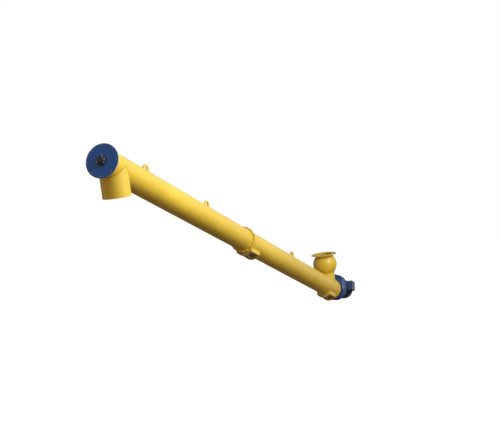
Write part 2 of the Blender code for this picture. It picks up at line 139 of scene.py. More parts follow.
# Sizes of what is added to the solids, in metres
JOINT_BOLT_CIRCLE = 0.1495
DRIVE_END_BOLT_CIRCLE = 0.1455
PLATE_BOLT_CIRCLE = 0.1560
BEARING_BOLT_CIRCLE = 0.0425
DRIVE_BOLT_CIRCLE = 0.1425
MOTOR_BOLT_CIRCLE = 0.1470

# Camera of the photograph, solved from the edges of the tube, the spout and the round ends
CAMERA_PLACE = (-16.25125, -5.22685, 2.72021)
CAMERA_RIGHT = (0.341477, -0.930902, -0.129675)
CAMERA_DOWN = (-0.153422, 0.080911, -0.984843)
CAMERA_LENS = 84.69

# Light of the photograph, solved from the shading of the tube, the spout and the ball
KEY_DIRECTION = (0.06, -0.90, 0.43)
KEY_TARGET = (1.2, 0.0, 0.0)
KEY_DISTANCE = 9.5
KEY_SIZE = 7.2
KEY_SPREAD = math.radians(120.0)
GLOWS = (
    ((0.0, -0.890, 0.454), 0.1, (0.25, 0.245, 0.24)),
    ((0.95, -0.30, 0.10), 0.75, (0.35, 0.36, 0.38)),
    ((-0.70, 0.60, 0.10), 0.0, (0.24, 0.185, 0.135)),
)
FILL_STOPS = (
    (0.00, (0.110, 0.078, 0.050)), (0.40, (0.130, 0.095, 0.060)), (0.49, (0.160, 0.130, 0.100)),
    (0.52, (0.165, 0.150, 0.135)), (0.75, (0.150, 0.145, 0.140)), (1.00, (0.150, 0.150, 0.150)),
)


# Settings


def length(name, description, default):
    """A size in metres that a user can change."""
    return FloatProperty(name=name, description=description, default=default, min=0.0,
                         subtype="DISTANCE", unit="LENGTH", precision=4)


def colour(name, description, default):
    """A linear colour that a user can change."""
    return FloatVectorProperty(name=name, description=description, default=default, size=3,
                               min=0.0, max=1.0, subtype="COLOR")


def share(name, description, default):
    """A share between nothing and all."""
    return FloatProperty(name=name, description=description, default=default, min=0.0,
                         max=1.0, subtype="FACTOR")


class ConveyorPaint(PropertyGroup):
    """Colours and wear of the finishes."""

    yellow: colour("Yellow enamel", "Enamel of the tube, spout and inlet", (0.76, 0.505, 0.043))
    blue: colour("Blue enamel", "Enamel of the round end plate", (0.010, 0.105, 0.440))
    # Darker, browner copy of the yellow enamel for the hatch covers: painted shade.
    lid_painted_shade: colour("Lid painted shade", "Enamel of the hatch covers, darkened to paint their shade", (0.40, 0.27, 0.075))
    drive_blue: colour("Drive blue", "Enamel of the reducer", (0.016, 0.060, 0.190))
    motor_blue: colour("Motor blue", "Enamel of the motor and its cowl", (0.035, 0.080, 0.200))
    cast_dark: colour("Dark casting", "Bearing housing and cap", (0.012, 0.018, 0.045))
    zinc: colour("Zinc", "Plated bolts, nuts and washers", (0.52, 0.51, 0.48))
    steel: colour("Worked steel", "Screw and worn bores", (0.40, 0.385, 0.36))
    dust: share("Dust", "Pale dust on faces that look up", 0.10)
    grime: share("Grime", "Dark runs and smears in the enamel", 0.16)


class ConveyorSizes(PropertyGroup):
    """Counts and sizes of the small parts."""

    plate_bolts: IntProperty(name="Plate bolts", description="Bolts round the end plate",
                             default=8, min=3, max=48)
    joint_bolts: IntProperty(name="Joint bolts", description="Bolts round each flange joint",
                             default=16, min=3, max=48)
    bolt_head: length("Bolt head", "Radius of a flange bolt head over its corners", 0.0106)
    plate_head: length("Plate bolt head", "Radius of an end plate bolt head", 0.0060)
    weld: length("Weld", "Radius of a weld bead", 0.0045)
    weld_pitch: length("Weld ripple", "Distance between two ripples of a weld", 0.0055)
    fins: IntProperty(name="Motor fins", description="Cooling fins round the motor",
                      default=44, min=8, max=96)
    fin_thickness: length("Fin thickness", "Thickness of a cooling fin", 0.0028)
    flight_pitch: length("Flight pitch", "Pitch of the conveying screw", 0.250)


class ConveyorStudio(PropertyGroup):
    """Floor and light of the studio."""

    floor_level: FloatProperty(name="Floor level", description="Height of the floor",
                               default=-1.55, subtype="DISTANCE", unit="LENGTH")
    fill: FloatProperty(name="Fill", description="Strength of the dim light all round",
                        default=1.0, min=0.0)
    glow: FloatProperty(name="Glow", description="Strength of the soft glows of the studio",
                        default=1.0, min=0.0)
    key: FloatProperty(name="Key light", description="Power of the large soft key light",
                       default=620.0, min=0.0, subtype="POWER", unit="POWER")


# Meshes


def new_object(name, mesh):
    """Link a mesh to the scene under a plain name."""
    obj = bpy.data.objects.new(name, mesh)
    bpy.context.scene.collection.objects.link(obj)
    return obj


def baked(obj):
    """Replace an object's mesh with its evaluated one and drop the modifiers."""
    bpy.context.view_layer.update()
    graph = bpy.context.evaluated_depsgraph_get()
    mesh = bpy.data.meshes.new_from_object(obj.evaluated_get(graph))
    obj.modifiers.clear()
    obj.data = mesh
    mesh.name = obj.name
    return obj


def from_bmesh(name, bm):
    """Turn a bmesh into an object with its faces outwards."""
    bmesh.ops.recalc_face_normals(bm, faces=bm.faces)
    mesh = bpy.data.meshes.new(name)
    bm.to_mesh(mesh)
    bm.free()
    return new_object(name, mesh)


def softened(points, closed=True, steps=5):
    """Round the corners of a profile. A point is (r, z) or (r, z, radius)."""
    out = []
    count = len(points)
    for i, point in enumerate(points):
        here = Vector(point[:2])
        radius = point[2] if len(point) > 2 else 0.0
        if radius <= 0.0 or (not closed and i in (0, count - 1)):
            out.append(tuple(here))
            continue
        before = Vector(points[i - 1][:2]) - here
        after = Vector(points[(i + 1) % count][:2]) - here
        cut = min(radius, before.length * 0.49, after.length * 0.49)
        first = here + before.normalized() * cut
        last = here + after.normalized() * cut
        for k in range(steps + 1):
            t = k / steps
            out.append(tuple(first * (1 - t) ** 2 + here * (2 * t * (1 - t)) + last * t * t))
    return out


def circle(radius, count):
    """Points spaced evenly on a circle, from +X on."""
    angles = [2 * math.pi * k / count for k in range(count)]
    return [(radius * math.cos(angle), radius * math.sin(angle)) for angle in angles]


def turned(name, points, sides=128, closed=True, steps=5):
    """Turn a profile of radius and height about Z into a closed body."""
    bm = bmesh.new()
    rings = []
    for r, z in softened(points, closed, steps):
        spots = [(0.0, 0.0)] if r < 1e-7 else circle(r, sides)
        rings.append([bm.verts.new((x, y, z)) for x, y in spots])
    pairs = list(zip(rings, rings[1:]))
    if closed:
        pairs.append((rings[-1], rings[0]))
    for a, b in pairs:
        for k in range(sides if len(a) + len(b) > 2 else 0):
            n = (k + 1) % sides
            corners = (a[k % len(a)], a[n % len(a)], b[n % len(b)], b[k % len(b)])
            bm.faces.new(list(dict.fromkeys(corners)))
    return from_bmesh(name, bm)


def ring_points(outer, inner, start, end, soft=0.001):
    """Corners of a plain ring with softened edges."""
    return [(outer, start, soft), (outer, end, soft), (inner, end, soft), (inner, start, soft)]


def slab(name, outline, start, end, edge=0.0015, segments=3):
    """Plate with a flat outline in XY between two heights, with rounded edges."""
    bm = bmesh.new()
    low = [bm.verts.new((x, y, start)) for x, y in outline]
    high = [bm.verts.new((x, y, end)) for x, y in outline]
    bm.faces.new(reversed(low))
    bm.faces.new(high)
    for i in range(len(outline)):
        n = (i + 1) % len(outline)
        bm.faces.new((low[i], low[n], high[n], high[i]))
    obj = from_bmesh(name, bm)
    return bevelled(obj, edge, segments) if edge > 0.0 else obj


def block(name, low, high, edge=0.002, segments=3):
    """Box between two corners with rounded edges."""
    outline = [(low[0], low[1]), (high[0], low[1]), (high[0], high[1]), (low[0], high[1])]
    return slab(name, outline, low[2], high[2], edge, segments)


def bevelled(obj, width, segments=3, angle=40.0):
    """Round the sharp edges of an object."""
    modifier = obj.modifiers.new("rounded", "BEVEL")
    modifier.width = width
    modifier.segments = segments
    modifier.limit_method = "ANGLE"
    modifier.angle_limit = math.radians(angle)
    return baked(obj)


def carved(obj, cutter, operation="DIFFERENCE"):
    """Apply one exact Boolean and remove its cutter."""
    modifier = obj.modifiers.new("carved", "BOOLEAN")
    modifier.operation = operation
    modifier.solver = "EXACT"
    modifier.object = cutter
    baked(obj)
    bpy.data.objects.remove(cutter, do_unlink=True)
    return obj


def moved(obj, matrix):
    """Place an object in its own mesh."""
    obj.data.transform(matrix)
    return obj


def joined(name, objects):
    """Put several bodies in one mesh."""
    bm = bmesh.new()
    for obj in objects:
        bm.from_mesh(obj.data)
    mesh = bpy.data.meshes.new(name)
    bm.to_mesh(mesh)
    bm.free()
    for obj in objects:
        bpy.data.objects.remove(obj, do_unlink=True)
    return new_object(name, mesh)


def rod(name, radius, start, end, sides=48, edge=0.0):
    """Solid rod on the Z axis."""
    points = [(0.0, start), (radius, start, edge), (radius, end, edge), (0.0, end)]
    return turned(name, points, sides, closed=False, steps=3)


def arc(centre, radius, first, last, count):
    """Points along an arc, angles in degrees."""
    points = []
    for i in range(count + 1):
        angle = math.radians(first + (last - first) * i / count)
        points.append((centre[0] + radius * math.cos(angle), centre[1] + radius * math.sin(angle)))
    return points


def finished(obj, material, *replaces):
    """Shade and paint a piece, then hang it on the conveyor."""
    obj.data.shade_smooth()
    obj.data.set_sharp_from_angle(angle=math.radians(32.0))
    even = obj.modifiers.new("even", "WEIGHTED_NORMAL")
    even.keep_sharp = True
    baked(obj)
    obj.data.materials.clear()
    obj.data.materials.append(finish(material))
    return hung(obj, material, *replaces)


def hung(obj, material, *replaces):
    """Let a piece that already has its material ride on the conveyor."""
    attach(obj, "root")
    if replaces:
        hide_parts(*replaces)
    return obj


def lathed(name, points, material, *replaces, place=ALONG, sides=128, closed=True):
    """Turned piece, placed, painted and hung."""
    return finished(moved(turned(name, points, sides, closed), place), material, *replaces)


def clear_of_tube(obj, start, end):
    """Cut the tube's round out of a piece, between two stations."""
    return carved(obj, moved(rod("tube_body", TUBE_RADIUS + GAP, start, end, 144), ALONG))


# Finishes


class Graph:
    """Adds nodes to a node tree with their settings and inputs."""

    def __init__(self, tree):
        self.tree = tree

    def node(self, kind, inputs=None, **settings):
        """Add a node and give it."""
        node = self.tree.nodes.new(kind)
        for key, value in settings.items():
            setattr(node, key, value)
        for key, value in (inputs or {}).items():
            self.put(node.inputs[key], value)
        return node

    def out(self, kind, inputs=None, output=0, **settings):
        """Add a node and give one of its outputs."""
        return self.node(kind, inputs, **settings).outputs[output]

    def put(self, socket, value):
        """Link a socket or set its value."""
        if isinstance(value, bpy.types.NodeSocket):
            self.tree.links.new(value, socket)
        elif isinstance(value, (tuple, list)) and socket.type == "RGBA":
            socket.default_value = (*value[:3], 1.0)
        else:
            socket.default_value = value

    def math(self, kind, a, b=0.0):
        """Arithmetic on two values."""
        return self.out("ShaderNodeMath", {0: a, 1: b}, operation=kind)

    def times(self, a, b):
        """Product of two values."""
        return self.math("MULTIPLY", a, b)

    def plus(self, a, b):
        """Sum of two values."""
        return self.math("ADD", a, b)


class Paint(Graph):
    """One procedural material on object coordinates."""

    def __init__(self, name):
        self.material = bpy.data.materials.new(name)
        self.material.use_nodes = True
        super().__init__(self.material.node_tree)
        self.shader = self.tree.nodes["Principled BSDF"]
        self.place = self.out("ShaderNodeTexCoord", output="Object")

    def noise(self, scale, detail=3.0, rough=0.5, stretch=None):
        """Noise over the piece, stretched along an axis if asked."""
        place = self.place
        if stretch is not None:
            place = self.out("ShaderNodeMapping", {"Vector": place, "Scale": stretch})
        return self.out("ShaderNodeTexNoise", {
            "Vector": place, "Scale": scale, "Detail": detail, "Roughness": rough}, "Fac")

    def span(self, value, low, high, first=0.0, last=1.0):
        """Map a span of values to another, clamped."""
        return self.out("ShaderNodeMapRange", {
            "Value": value, "From Min": low, "From Max": high, "To Min": first,
            "To Max": last}, "Result")

    def mix(self, amount, a, b):
        """Mix two colours."""
        return self.out("ShaderNodeMix", {0: amount, 6: a, 7: b}, 2, data_type="RGBA")

    def upward(self):
        """How far a face looks up."""
        normal = self.out("ShaderNodeNewGeometry", output="Normal")
        return self.out("ShaderNodeSeparateXYZ", {0: normal}, "Z")

    def bump(self, height, distance, normal=None):
        """Relief of a given depth in metres."""
        inputs = {"Height": height, "Distance": distance, "Strength": 1.0}
        if normal is not None:
            inputs["Normal"] = normal
        return self.out("ShaderNodeBump", inputs, "Normal")

    def set(self, **values):
        """Set inputs of the shader by name, with spaces for underscores."""
        for key, value in values.items():
            self.put(self.shader.inputs[key.replace("_", " ")], value)
        return self.material


def scaled(colour_value, factor):
    """A colour made darker or lighter."""
    return tuple(min(1.0, c * factor) for c in colour_value)


def enamel(name, base, under, roughness, chip=0.70):
    """Brushed or sprayed enamel with fading, runs, dust, small chips and orange peel."""
    looks = bpy.context.scene.conveyor_paint
    p = Paint(name)
    fading = p.span(p.noise(1.1, 4.0, 0.55), 0.35, 0.68)
    tone = p.mix(fading, scaled(base, 0.93), scaled(base, 1.06))
    runs = p.span(p.noise(7.0, 5.0, 0.6, stretch=(1.0, 1.0, 0.15)), 0.52, 0.80)
    runs = p.times(runs, looks.grime)
    tone = p.mix(runs, tone, scaled(base, 0.45))
    smears = p.times(p.span(p.noise(28.0, 6.0, 0.65), 0.55, 0.85), looks.grime)
    tone = p.mix(smears, tone, scaled(base, 0.60))
    specks = p.span(p.noise(210.0, 2.0), chip, chip + 0.03)
    patches = p.span(p.noise(3.1, 3.0), 0.50, 0.66)
    chips = p.times(specks, patches)
    tone = p.mix(chips, tone, under)
    film = p.times(p.span(p.upward(), 0.35, 1.0), looks.dust)
    film = p.times(film, p.span(p.noise(9.0, 6.0, 0.6), 0.25, 0.75, 0.4, 1.0))
    tone = p.mix(film, tone, (0.62, 0.58, 0.50))
    dull = p.plus(p.span(p.noise(14.0, 5.0), 0.3, 0.7, roughness - 0.05, roughness + 0.07),
                 p.times(film, 1.2))
    dull = p.plus(dull, p.times(chips, 0.3))
    waves = p.bump(p.noise(11.0, 2.0), 0.0012)
    peel = p.bump(p.noise(420.0, 2.0), 0.00010, waves)
    pits = p.bump(chips, -0.00015, peel)
    p.set(Base_Color=tone, Roughness=dull, Normal=pits)
    p.set(Metallic=0.0, Coat_Weight=0.25, Coat_Roughness=0.12, IOR=1.5)
    return p.material


def casting(name, base, roughness, dust=1.0):
    """Painted casting: coarse skin under a thick coat, with a share of the dust."""
    looks = bpy.context.scene.conveyor_paint
    p = Paint(name)
    fading = p.span(p.noise(6.0, 4.0), 0.3, 0.7)
    tone = p.mix(fading, scaled(base, 0.80), scaled(base, 1.20))
    film = p.times(p.span(p.upward(), 0.3, 1.0), looks.dust * dust)
    tone = p.mix(film, tone, (0.42, 0.42, 0.42))
    oil = p.span(p.noise(16.0, 5.0, 0.6, stretch=(1.0, 1.0, 0.3)), 0.55, 0.80, 0.0, 0.5)
    tone = p.mix(oil, tone, scaled(base, 0.35))
    dull = p.span(p.noise(22.0, 4.0), 0.3, 0.7, roughness - 0.08, roughness + 0.10)
    skin = p.bump(p.noise(160.0, 4.0, 0.6), 0.0006)
    lumps = p.bump(p.noise(30.0, 3.0), 0.0010, skin)
    p.set(Base_Color=tone, Roughness=dull, Normal=lumps)
    p.set(Metallic=0.0, Coat_Weight=0.30, Coat_Roughness=0.20)
    return p.material


def plated(name, base, roughness, metal=0.85):
    """Zinc plate gone cloudy, with a little white rust."""
    p = Paint(name)
    cloud = p.span(p.noise(90.0, 4.0, 0.6), 0.3, 0.7)
    tone = p.mix(cloud, scaled(base, 0.72), scaled(base, 1.12))
    bloom = p.span(p.noise(260.0, 3.0), 0.62, 0.74, 0.0, 0.5)
    tone = p.mix(bloom, tone, (0.70, 0.69, 0.66))
    dull = p.span(p.noise(120.0, 3.0), 0.3, 0.7, roughness, roughness + 0.2)
    skin = p.bump(p.noise(700.0, 2.0), 0.00008)
    p.set(Base_Color=tone, Roughness=dull, Normal=skin, Metallic=metal)
    return p.material


def worked_steel(name, base):
    """Bare steel rubbed bright by the material it moves, with brown shadows."""
    p = Paint(name)
    rub = p.span(p.noise(16.0, 6.0, 0.65, stretch=(0.3, 1.0, 1.0)), 0.3, 0.7)
    tone = p.mix(rub, scaled(base, 0.70), scaled(base, 1.10))
    rust = p.span(p.noise(6.0, 6.0, 0.7), 0.56, 0.72, 0.0, 0.55)
    tone = p.mix(rust, tone, (0.150, 0.062, 0.024))
    dull = p.plus(p.span(p.noise(55.0, 4.0), 0.3, 0.7, 0.26, 0.46),
                 p.times(rust, 0.4))
    metal = p.span(rust, 0.0, 0.5, 0.95, 0.35)
    scores = p.bump(p.noise(240.0, 3.0, 0.6, stretch=(0.1, 1.0, 1.0)), 0.00020)
    p.set(Base_Color=tone, Roughness=dull, Normal=scores, Metallic=metal)
    return p.material


def rubber(name):
    """Black seal with a grey bloom."""
    p = Paint(name)
    tone = p.mix(p.noise(60.0, 4.0), (0.006, 0.006, 0.007), (0.030, 0.030, 0.031))
    dull = p.span(p.noise(90.0, 3.0), 0.3, 0.7, 0.55, 0.80)
    p.set(Base_Color=tone, Roughness=dull, Normal=p.bump(p.noise(500.0, 2.0), 0.0001))
    return p.material


def makers():
    """Finishes by name."""
    looks = bpy.context.scene.conveyor_paint
    yellow = tuple(looks.yellow)
    return {
        "yellow": lambda: enamel("yellow_enamel", yellow, (0.20, 0.16, 0.12), 0.40),
        "weld": lambda: enamel("weld_enamel", scaled(yellow, 0.92), (0.20, 0.12, 0.06), 0.46),
        "blue": lambda: enamel("blue_enamel", tuple(looks.blue), (0.10, 0.11, 0.12), 0.38, 0.72),
        # Hatch cover enamel: the yellow darkened, which paints shade on the covers.
        "lid_painted_shade": lambda: enamel("soiled_enamel", tuple(looks.lid_painted_shade), (0.16, 0.11, 0.07), 0.55),
        "drive": lambda: casting("drive_enamel", tuple(looks.drive_blue), 0.34, 0.2),
        "motor": lambda: casting("motor_enamel", tuple(looks.motor_blue), 0.42, 0.5),
        "sheet": lambda: enamel("cowl_enamel", tuple(looks.motor_blue), (0.09, 0.09, 0.10),
                                0.36, 0.72),
        "cast": lambda: casting("bearing_casting", tuple(looks.cast_dark), 0.46),
        "zinc": lambda: plated("plated_zinc", tuple(looks.zinc), 0.30),
        # Zinc of the hatch clamps, browned, darkened and made less metallic: painted shade.
        "clamp_zinc_painted_shade": lambda: plated("soiled_zinc", (0.52, 0.42, 0.29), 0.45, 0.3),
        "steel": lambda: worked_steel("worked_steel", tuple(looks.steel)),
        "rubber": lambda: rubber("black_seal"),
    }


FINISHES = {}


def finish(name):
    """The material of a finish, made the first time that it is asked for."""
    if name not in FINISHES:
        FINISHES[name] = makers()[name]()
    return FINISHES[name]


# Geometry node trees


class Tree(Graph):
    """Builds a geometry node group with named inputs, of which the last is a material."""

    def __init__(self, name, defaults):
        super().__init__(bpy.data.node_groups.new(name, "GeometryNodeTree"))
        self.socket("Geometry", "Geometry", "OUTPUT")
        self.socket("Geometry", "Geometry")
        for key, value in defaults.items():
            kind = "Int" if isinstance(value, int) else "Float"
            self.socket(key, kind).default_value = value
        self.socket("Material", "Material")
        entry = self.node("NodeGroupInput")
        self.exit = self.node("NodeGroupOutput")
        self.base = entry.outputs["Geometry"]
        self.inputs = [entry.outputs[key] for key in (*defaults, "Material")]

    def socket(self, name, kind, side="INPUT"):
        """Add a named socket to the group."""
        return self.tree.interface.new_socket(name, in_out=side, socket_type=f"NodeSocket{kind}")

    def vector(self, x=0.0, y=0.0, z=0.0):
        """Vector from three values."""
        return self.out("ShaderNodeCombineXYZ", {0: x, 1: y, 2: z})

    def move(self, geometry, shift=None, turn=None):
        """Shift and turn a geometry."""
        inputs = {"Geometry": geometry}
        if shift is not None:
            inputs["Translation"] = shift
        if turn is not None:
            inputs["Rotation"] = turn
        return self.out("GeometryNodeTransform", inputs)

    def join(self, *parts):
        """Join several geometries."""
        node = self.node("GeometryNodeJoinGeometry")
        for part in parts:
            self.put(node.inputs[0], part)
        return node.outputs[0]

    def disc(self, sides, radius, depth):
        """Capped cylinder about the origin."""
        return self.out("GeometryNodeMeshCylinder", {
            "Vertices": sides, "Radius": radius, "Depth": depth}, "Mesh")

    def cylinder(self, sides, radius, depth, above):
        """Capped cylinder whose foot stands at a height."""
        middle = self.plus(above, self.times(depth, 0.5))
        return self.move(self.disc(sides, radius, depth), self.vector(z=middle))

    def cone(self, sides, top, bottom, depth):
        """Capped cone that stands on the origin."""
        return self.out("GeometryNodeMeshCone", {
            "Vertices": sides, "Radius Top": top, "Radius Bottom": bottom, "Depth": depth},
            "Mesh")

    def spots(self, count):
        """A number of points in one place."""
        return self.out("GeometryNodeMeshLine", {"Count": count, "Offset": (0.0, 0.0, 0.0)})

    def copies(self, points, instance, **inputs):
        """Put an instance on every point."""
        inputs = {"Points": points, "Instance": instance, **inputs}
        return self.out("GeometryNodeInstanceOnPoints", inputs)

    def spin(self, seed, lean=0.0):
        """Random turn about Z, after a fixed lean about X."""
        node = self.node("FunctionNodeRandomValue", {"Seed": seed, 2: 0.0, 3: math.pi},
                         data_type="FLOAT")
        return self.vector(lean, 0.0, node.outputs[1])

    def wire(self, path, radius, **inputs):
        """Round wire of eight sides along a curve."""
        section = self.out("GeometryNodeCurvePrimitiveCircle", {"Resolution": 8, "Radius": radius})
        return self.node("GeometryNodeCurveToMesh", {
            "Curve": path, "Profile Curve": section, **inputs})

    def give(self, geometry, material, smooth=None):
        """Realize, paint and hand out the result."""
        real = self.out("GeometryNodeRealizeInstances", {"Geometry": geometry})
        if smooth is not None:
            real = self.out("GeometryNodeSetShadeSmooth", {
                "Geometry": real, "Shade Smooth": smooth})
        done = self.out("GeometryNodeSetMaterial", {"Geometry": real, "Material": material})
        self.put(self.exit.inputs[0], done)
        return self.tree


def bolt_tree():
    """Bolts or nuts: a washer, a six-sided head with a turned crown, and a thread end."""
    t = Tree("bolts", {
        "Count": 8, "Circle Radius": 0.15, "First Angle": 0.0, "Head Radius": 0.010,
        "Head Height": 0.007, "Washer Radius": 0.012, "Washer Height": 0.002,
        "Thread Radius": 0.006, "Thread Length": 0.0, "Seed": 1,
    })
    count, reach, first, head, height, washer, plate, thread, end, seed, material = t.inputs
    ring = t.out("GeometryNodeMeshCircle", {"Vertices": count, "Radius": reach})
    ring = t.move(ring, turn=t.vector(z=first))
    top = t.plus(plate, height)
    crown = t.cone(18, t.times(head, 0.70), t.times(head, 0.85), t.times(head, 0.08))
    bolt = t.join(t.cylinder(20, washer, plate, 0.0), t.cylinder(6, head, height, plate),
                  t.move(crown, t.vector(z=top)), t.cylinder(12, thread, end, top))
    return t.give(t.copies(ring, bolt, Rotation=t.spin(seed)), material)


def wing_nut_tree():
    """Studs with wing nuts on the points of the base mesh, pointing down its Z axis."""
    t = Tree("wing_nuts", {
        "Nut Radius": 0.009, "Nut Depth": 0.008, "Thread Radius": 0.004,
        "Thread Length": 0.017, "Seed": 3,
    })
    radius, depth, thread, reach, seed, material = t.inputs
    washer = t.cylinder(20, t.times(radius, 1.15), 0.0016, 0.0)
    nut = t.cone(20, t.times(radius, 0.72), t.times(radius, 0.92), depth)
    nut = t.move(nut, t.vector(z=0.0016))
    stud = t.cylinder(12, thread, reach, 0.0)
    wing = t.move(t.disc(20, t.times(radius, 0.62), 0.0022), turn=t.vector(math.pi / 2))
    lift = t.plus(depth, 0.0022)
    side = t.times(radius, 0.72)
    right = t.move(wing, t.vector(side, 0.0, lift))
    left = t.move(wing, t.vector(t.times(side, -1.0), 0.0, lift))
    whole = t.join(washer, nut, stud, right, left)
    return t.give(t.copies(t.base, whole, Rotation=t.spin(seed, math.pi)), material)


def weld_tree():
    """Bead with ripples along the edges of the base mesh."""
    t = Tree("weld_beads", {"Radius": 0.0045, "Ripple": 0.0055})
    radius, pitch, material = t.inputs
    path = t.out("GeometryNodeMeshToCurve", {"Mesh": t.base})
    path = t.out("GeometryNodeResampleCurve", {"Curve": path, "Length": 0.0022}, mode="LENGTH")
    run = t.out("GeometryNodeSplineParameter", output="Length")
    ripple = t.math("SINE", t.math("DIVIDE", t.times(run, 2 * math.pi), pitch))
    wander = t.out("ShaderNodeTexNoise", {"Scale": 45.0, "Detail": 2.0}, "Fac")
    size = t.plus(0.86, t.times(ripple, 0.07))
    size = t.plus(size, t.times(t.math("SUBTRACT", wander, 0.5), 0.5))
    path = t.out("GeometryNodeSetCurveRadius", {"Curve": path, "Radius": size})
    bead = t.wire(path, radius, **{"Fill Caps": True})
    if "Scale" in bead.inputs:
        t.put(bead.inputs["Scale"], size)
    return t.give(bead.outputs[0], material, True)


def rib_tree():
    """Flat ribs that stand round an axis, such as cooling fins and gussets."""
    t = Tree("ribs", {
        "Count": 12, "First Angle": 0.0, "Step Angle": 0.5, "Inner Radius": 0.1,
        "Outer Radius": 0.13, "Start": 0.0, "Length": 0.1, "Thickness": 0.003,
    })
    count, first, step, inner, outer, start, reach, thick, material = t.inputs
    size = t.vector(t.math("SUBTRACT", outer, inner), thick, reach)
    plate = t.out("GeometryNodeMeshCube", {"Size": size}, "Mesh")
    middle = t.times(t.plus(inner, outer), 0.5)
    along = t.plus(start, t.times(reach, 0.5))
    plate = t.move(plate, t.vector(middle, 0.0, along))
    tip = t.move(t.disc(8, t.times(thick, 0.5), reach), t.vector(outer, 0.0, along))
    angle = t.plus(first, t.times(t.out("GeometryNodeInputIndex"), step))
    each = t.copies(t.spots(count), t.join(plate, tip), Rotation=t.vector(z=angle))
    return t.give(each, material)


def grille_tree():
    """Guard of round wires on flat spokes."""
    t = Tree("wire_guard", {
        "Rings": 8, "Inner Radius": 0.03, "Ring Step": 0.01, "Wire Radius": 0.0015,
        "Spokes": 6, "Outer Radius": 0.12,
    })
    count, inner, step, wire, spokes, outer, material = t.inputs
    index = t.out("GeometryNodeInputIndex")
    ring = t.out("GeometryNodeCurvePrimitiveCircle", {"Resolution": 72, "Radius": 1.0})
    radius = t.plus(inner, t.times(index, step))
    rings = t.copies(t.spots(count), ring, Scale=t.vector(radius, radius, radius))
    rings = t.out("GeometryNodeRealizeInstances", {"Geometry": rings})
    wires = t.wire(rings, wire).outputs[0]
    turn = t.math("DIVIDE", t.times(index, 2 * math.pi), spokes)
    bar = t.out("GeometryNodeMeshCube", {"Size": t.vector(outer, 0.004, 0.0016)}, "Mesh")
    bar = t.move(bar, t.vector(t.times(outer, 0.5)))
    bars = t.copies(t.spots(spokes), bar, Rotation=t.vector(z=turn))
    return t.give(t.join(wires, bars), material)


def flight_tree():
    """Helical flight of a conveying screw: a strip that follows a spiral."""
    t = Tree("screw_flight", {
        "Pitch": 0.25, "Turns": 28.0, "Inner Radius": 0.045, "Outer Radius": 0.125,
        "Thickness": 0.006,
    })
    pitch, turns, inner, outer, thick, material = t.inputs
    middle = t.times(t.plus(inner, outer), 0.5)
    spiral = t.out("GeometryNodeCurveSpiral", {
        "Resolution": 48, "Rotations": turns, "Start Radius": middle, "End Radius": middle,
        "Height": t.times(pitch, turns), "Reverse": False})
    spiral = t.out("GeometryNodeSetCurveNormal", {"Curve": spiral}, mode="Z_UP")
    section = t.out("GeometryNodeCurvePrimitiveQuadrilateral", {
        "Width": t.math("SUBTRACT", outer, inner), "Height": thick}, mode="RECTANGLE")
    strip = t.out("GeometryNodeCurveToMesh", {
        "Curve": spiral, "Profile Curve": section, "Fill Caps": True})
    return t.give(strip, material)


TREES = {}


def grown(name, maker, values, base=None):
    """Run a tree on a base mesh and give its result as a plain mesh object."""
    if maker not in TREES:
        TREES[maker] = maker()
    tree = TREES[maker]
    mesh = base if base is not None else bpy.data.meshes.new(name)
    obj = new_object(name, mesh)
    modifier = obj.modifiers.new(name, "NODES")
    modifier.node_group = tree
    known = {item.name: item.identifier for item in tree.interface.items_tree
             if item.item_type == "SOCKET" and item.in_out == "INPUT"}
    for key, value in values.items():
        modifier[known[key]] = value
    baked(obj)
    if not obj.data.vertices:
        raise RuntimeError(f"{name} came out empty")
    return obj


def planted(name, maker, material, place, values, base=None):
    """Run a tree in a finish, place its result and hang it."""
    obj = grown(name, maker, {**values, "Material": finish(material)}, base)
    return hung(moved(obj, place), material)


def bolts(name, reach, place, head, height=None, count=8, first=0.0, seed=1, washer=True,
          thread=0.0001, material="zinc"):
    """A circle of bolts or nuts, placed and hung."""
    return planted(name, bolt_tree, material, place, {
        "Count": count, "Circle Radius": reach, "First Angle": first, "Head Radius": head,
        "Head Height": height if height is not None else head * 0.72,
        "Washer Radius": head * (1.16 if washer else 0.98),
        "Washer Height": head * 0.18 if washer else 0.0004,
        "Thread Radius": head * 0.52, "Thread Length": thread, "Seed": seed,
    })


def path_mesh(name, points, closed):
    """Edges through a row of points."""
    mesh = bpy.data.meshes.new(name)
    edges = [(i, i + 1) for i in range(len(points) - 1)]
    if closed:
        edges.append((len(points) - 1, 0))
    mesh.from_pydata([tuple(p) for p in points], edges, [])
    return mesh


def weld(name, paths, radius=None):
    """Weld beads along closed paths given in the row frame."""
    sizes = bpy.context.scene.conveyor_sizes
    parts = []
    for i, path in enumerate(paths):
        values = {"Radius": radius if radius is not None else sizes.weld,
                  "Ripple": sizes.weld_pitch, "Material": finish("weld")}
        base = path_mesh(f"{name}_{i}", path, True)
        parts.append(grown(f"{name}_{i}", weld_tree, values, base))
    obj = parts[0]
    if len(parts) > 1:
        obj = joined(name, parts)
        obj.data.materials.append(finish("weld"))
        obj.data.shade_smooth()
    obj.name = name
    return hung(obj, "weld")


def round_path(matrix, radius, height, count=96):
    """Circle about the Z axis of a frame."""
    return [matrix @ Vector((x, y, height)) for x, y in circle(radius, count)]


def at_station(station):
    """Frame whose Z axis runs down the tube from a station."""
    return ALONG @ Matrix.Translation((0.0, 0.0, station))


def facing_up(station):
    """Frame at a station whose Z axis looks back towards the outlet."""
    return at_station(station) @ Matrix.Rotation(math.pi, 4, "Y")


# Tube, flanges and outlet


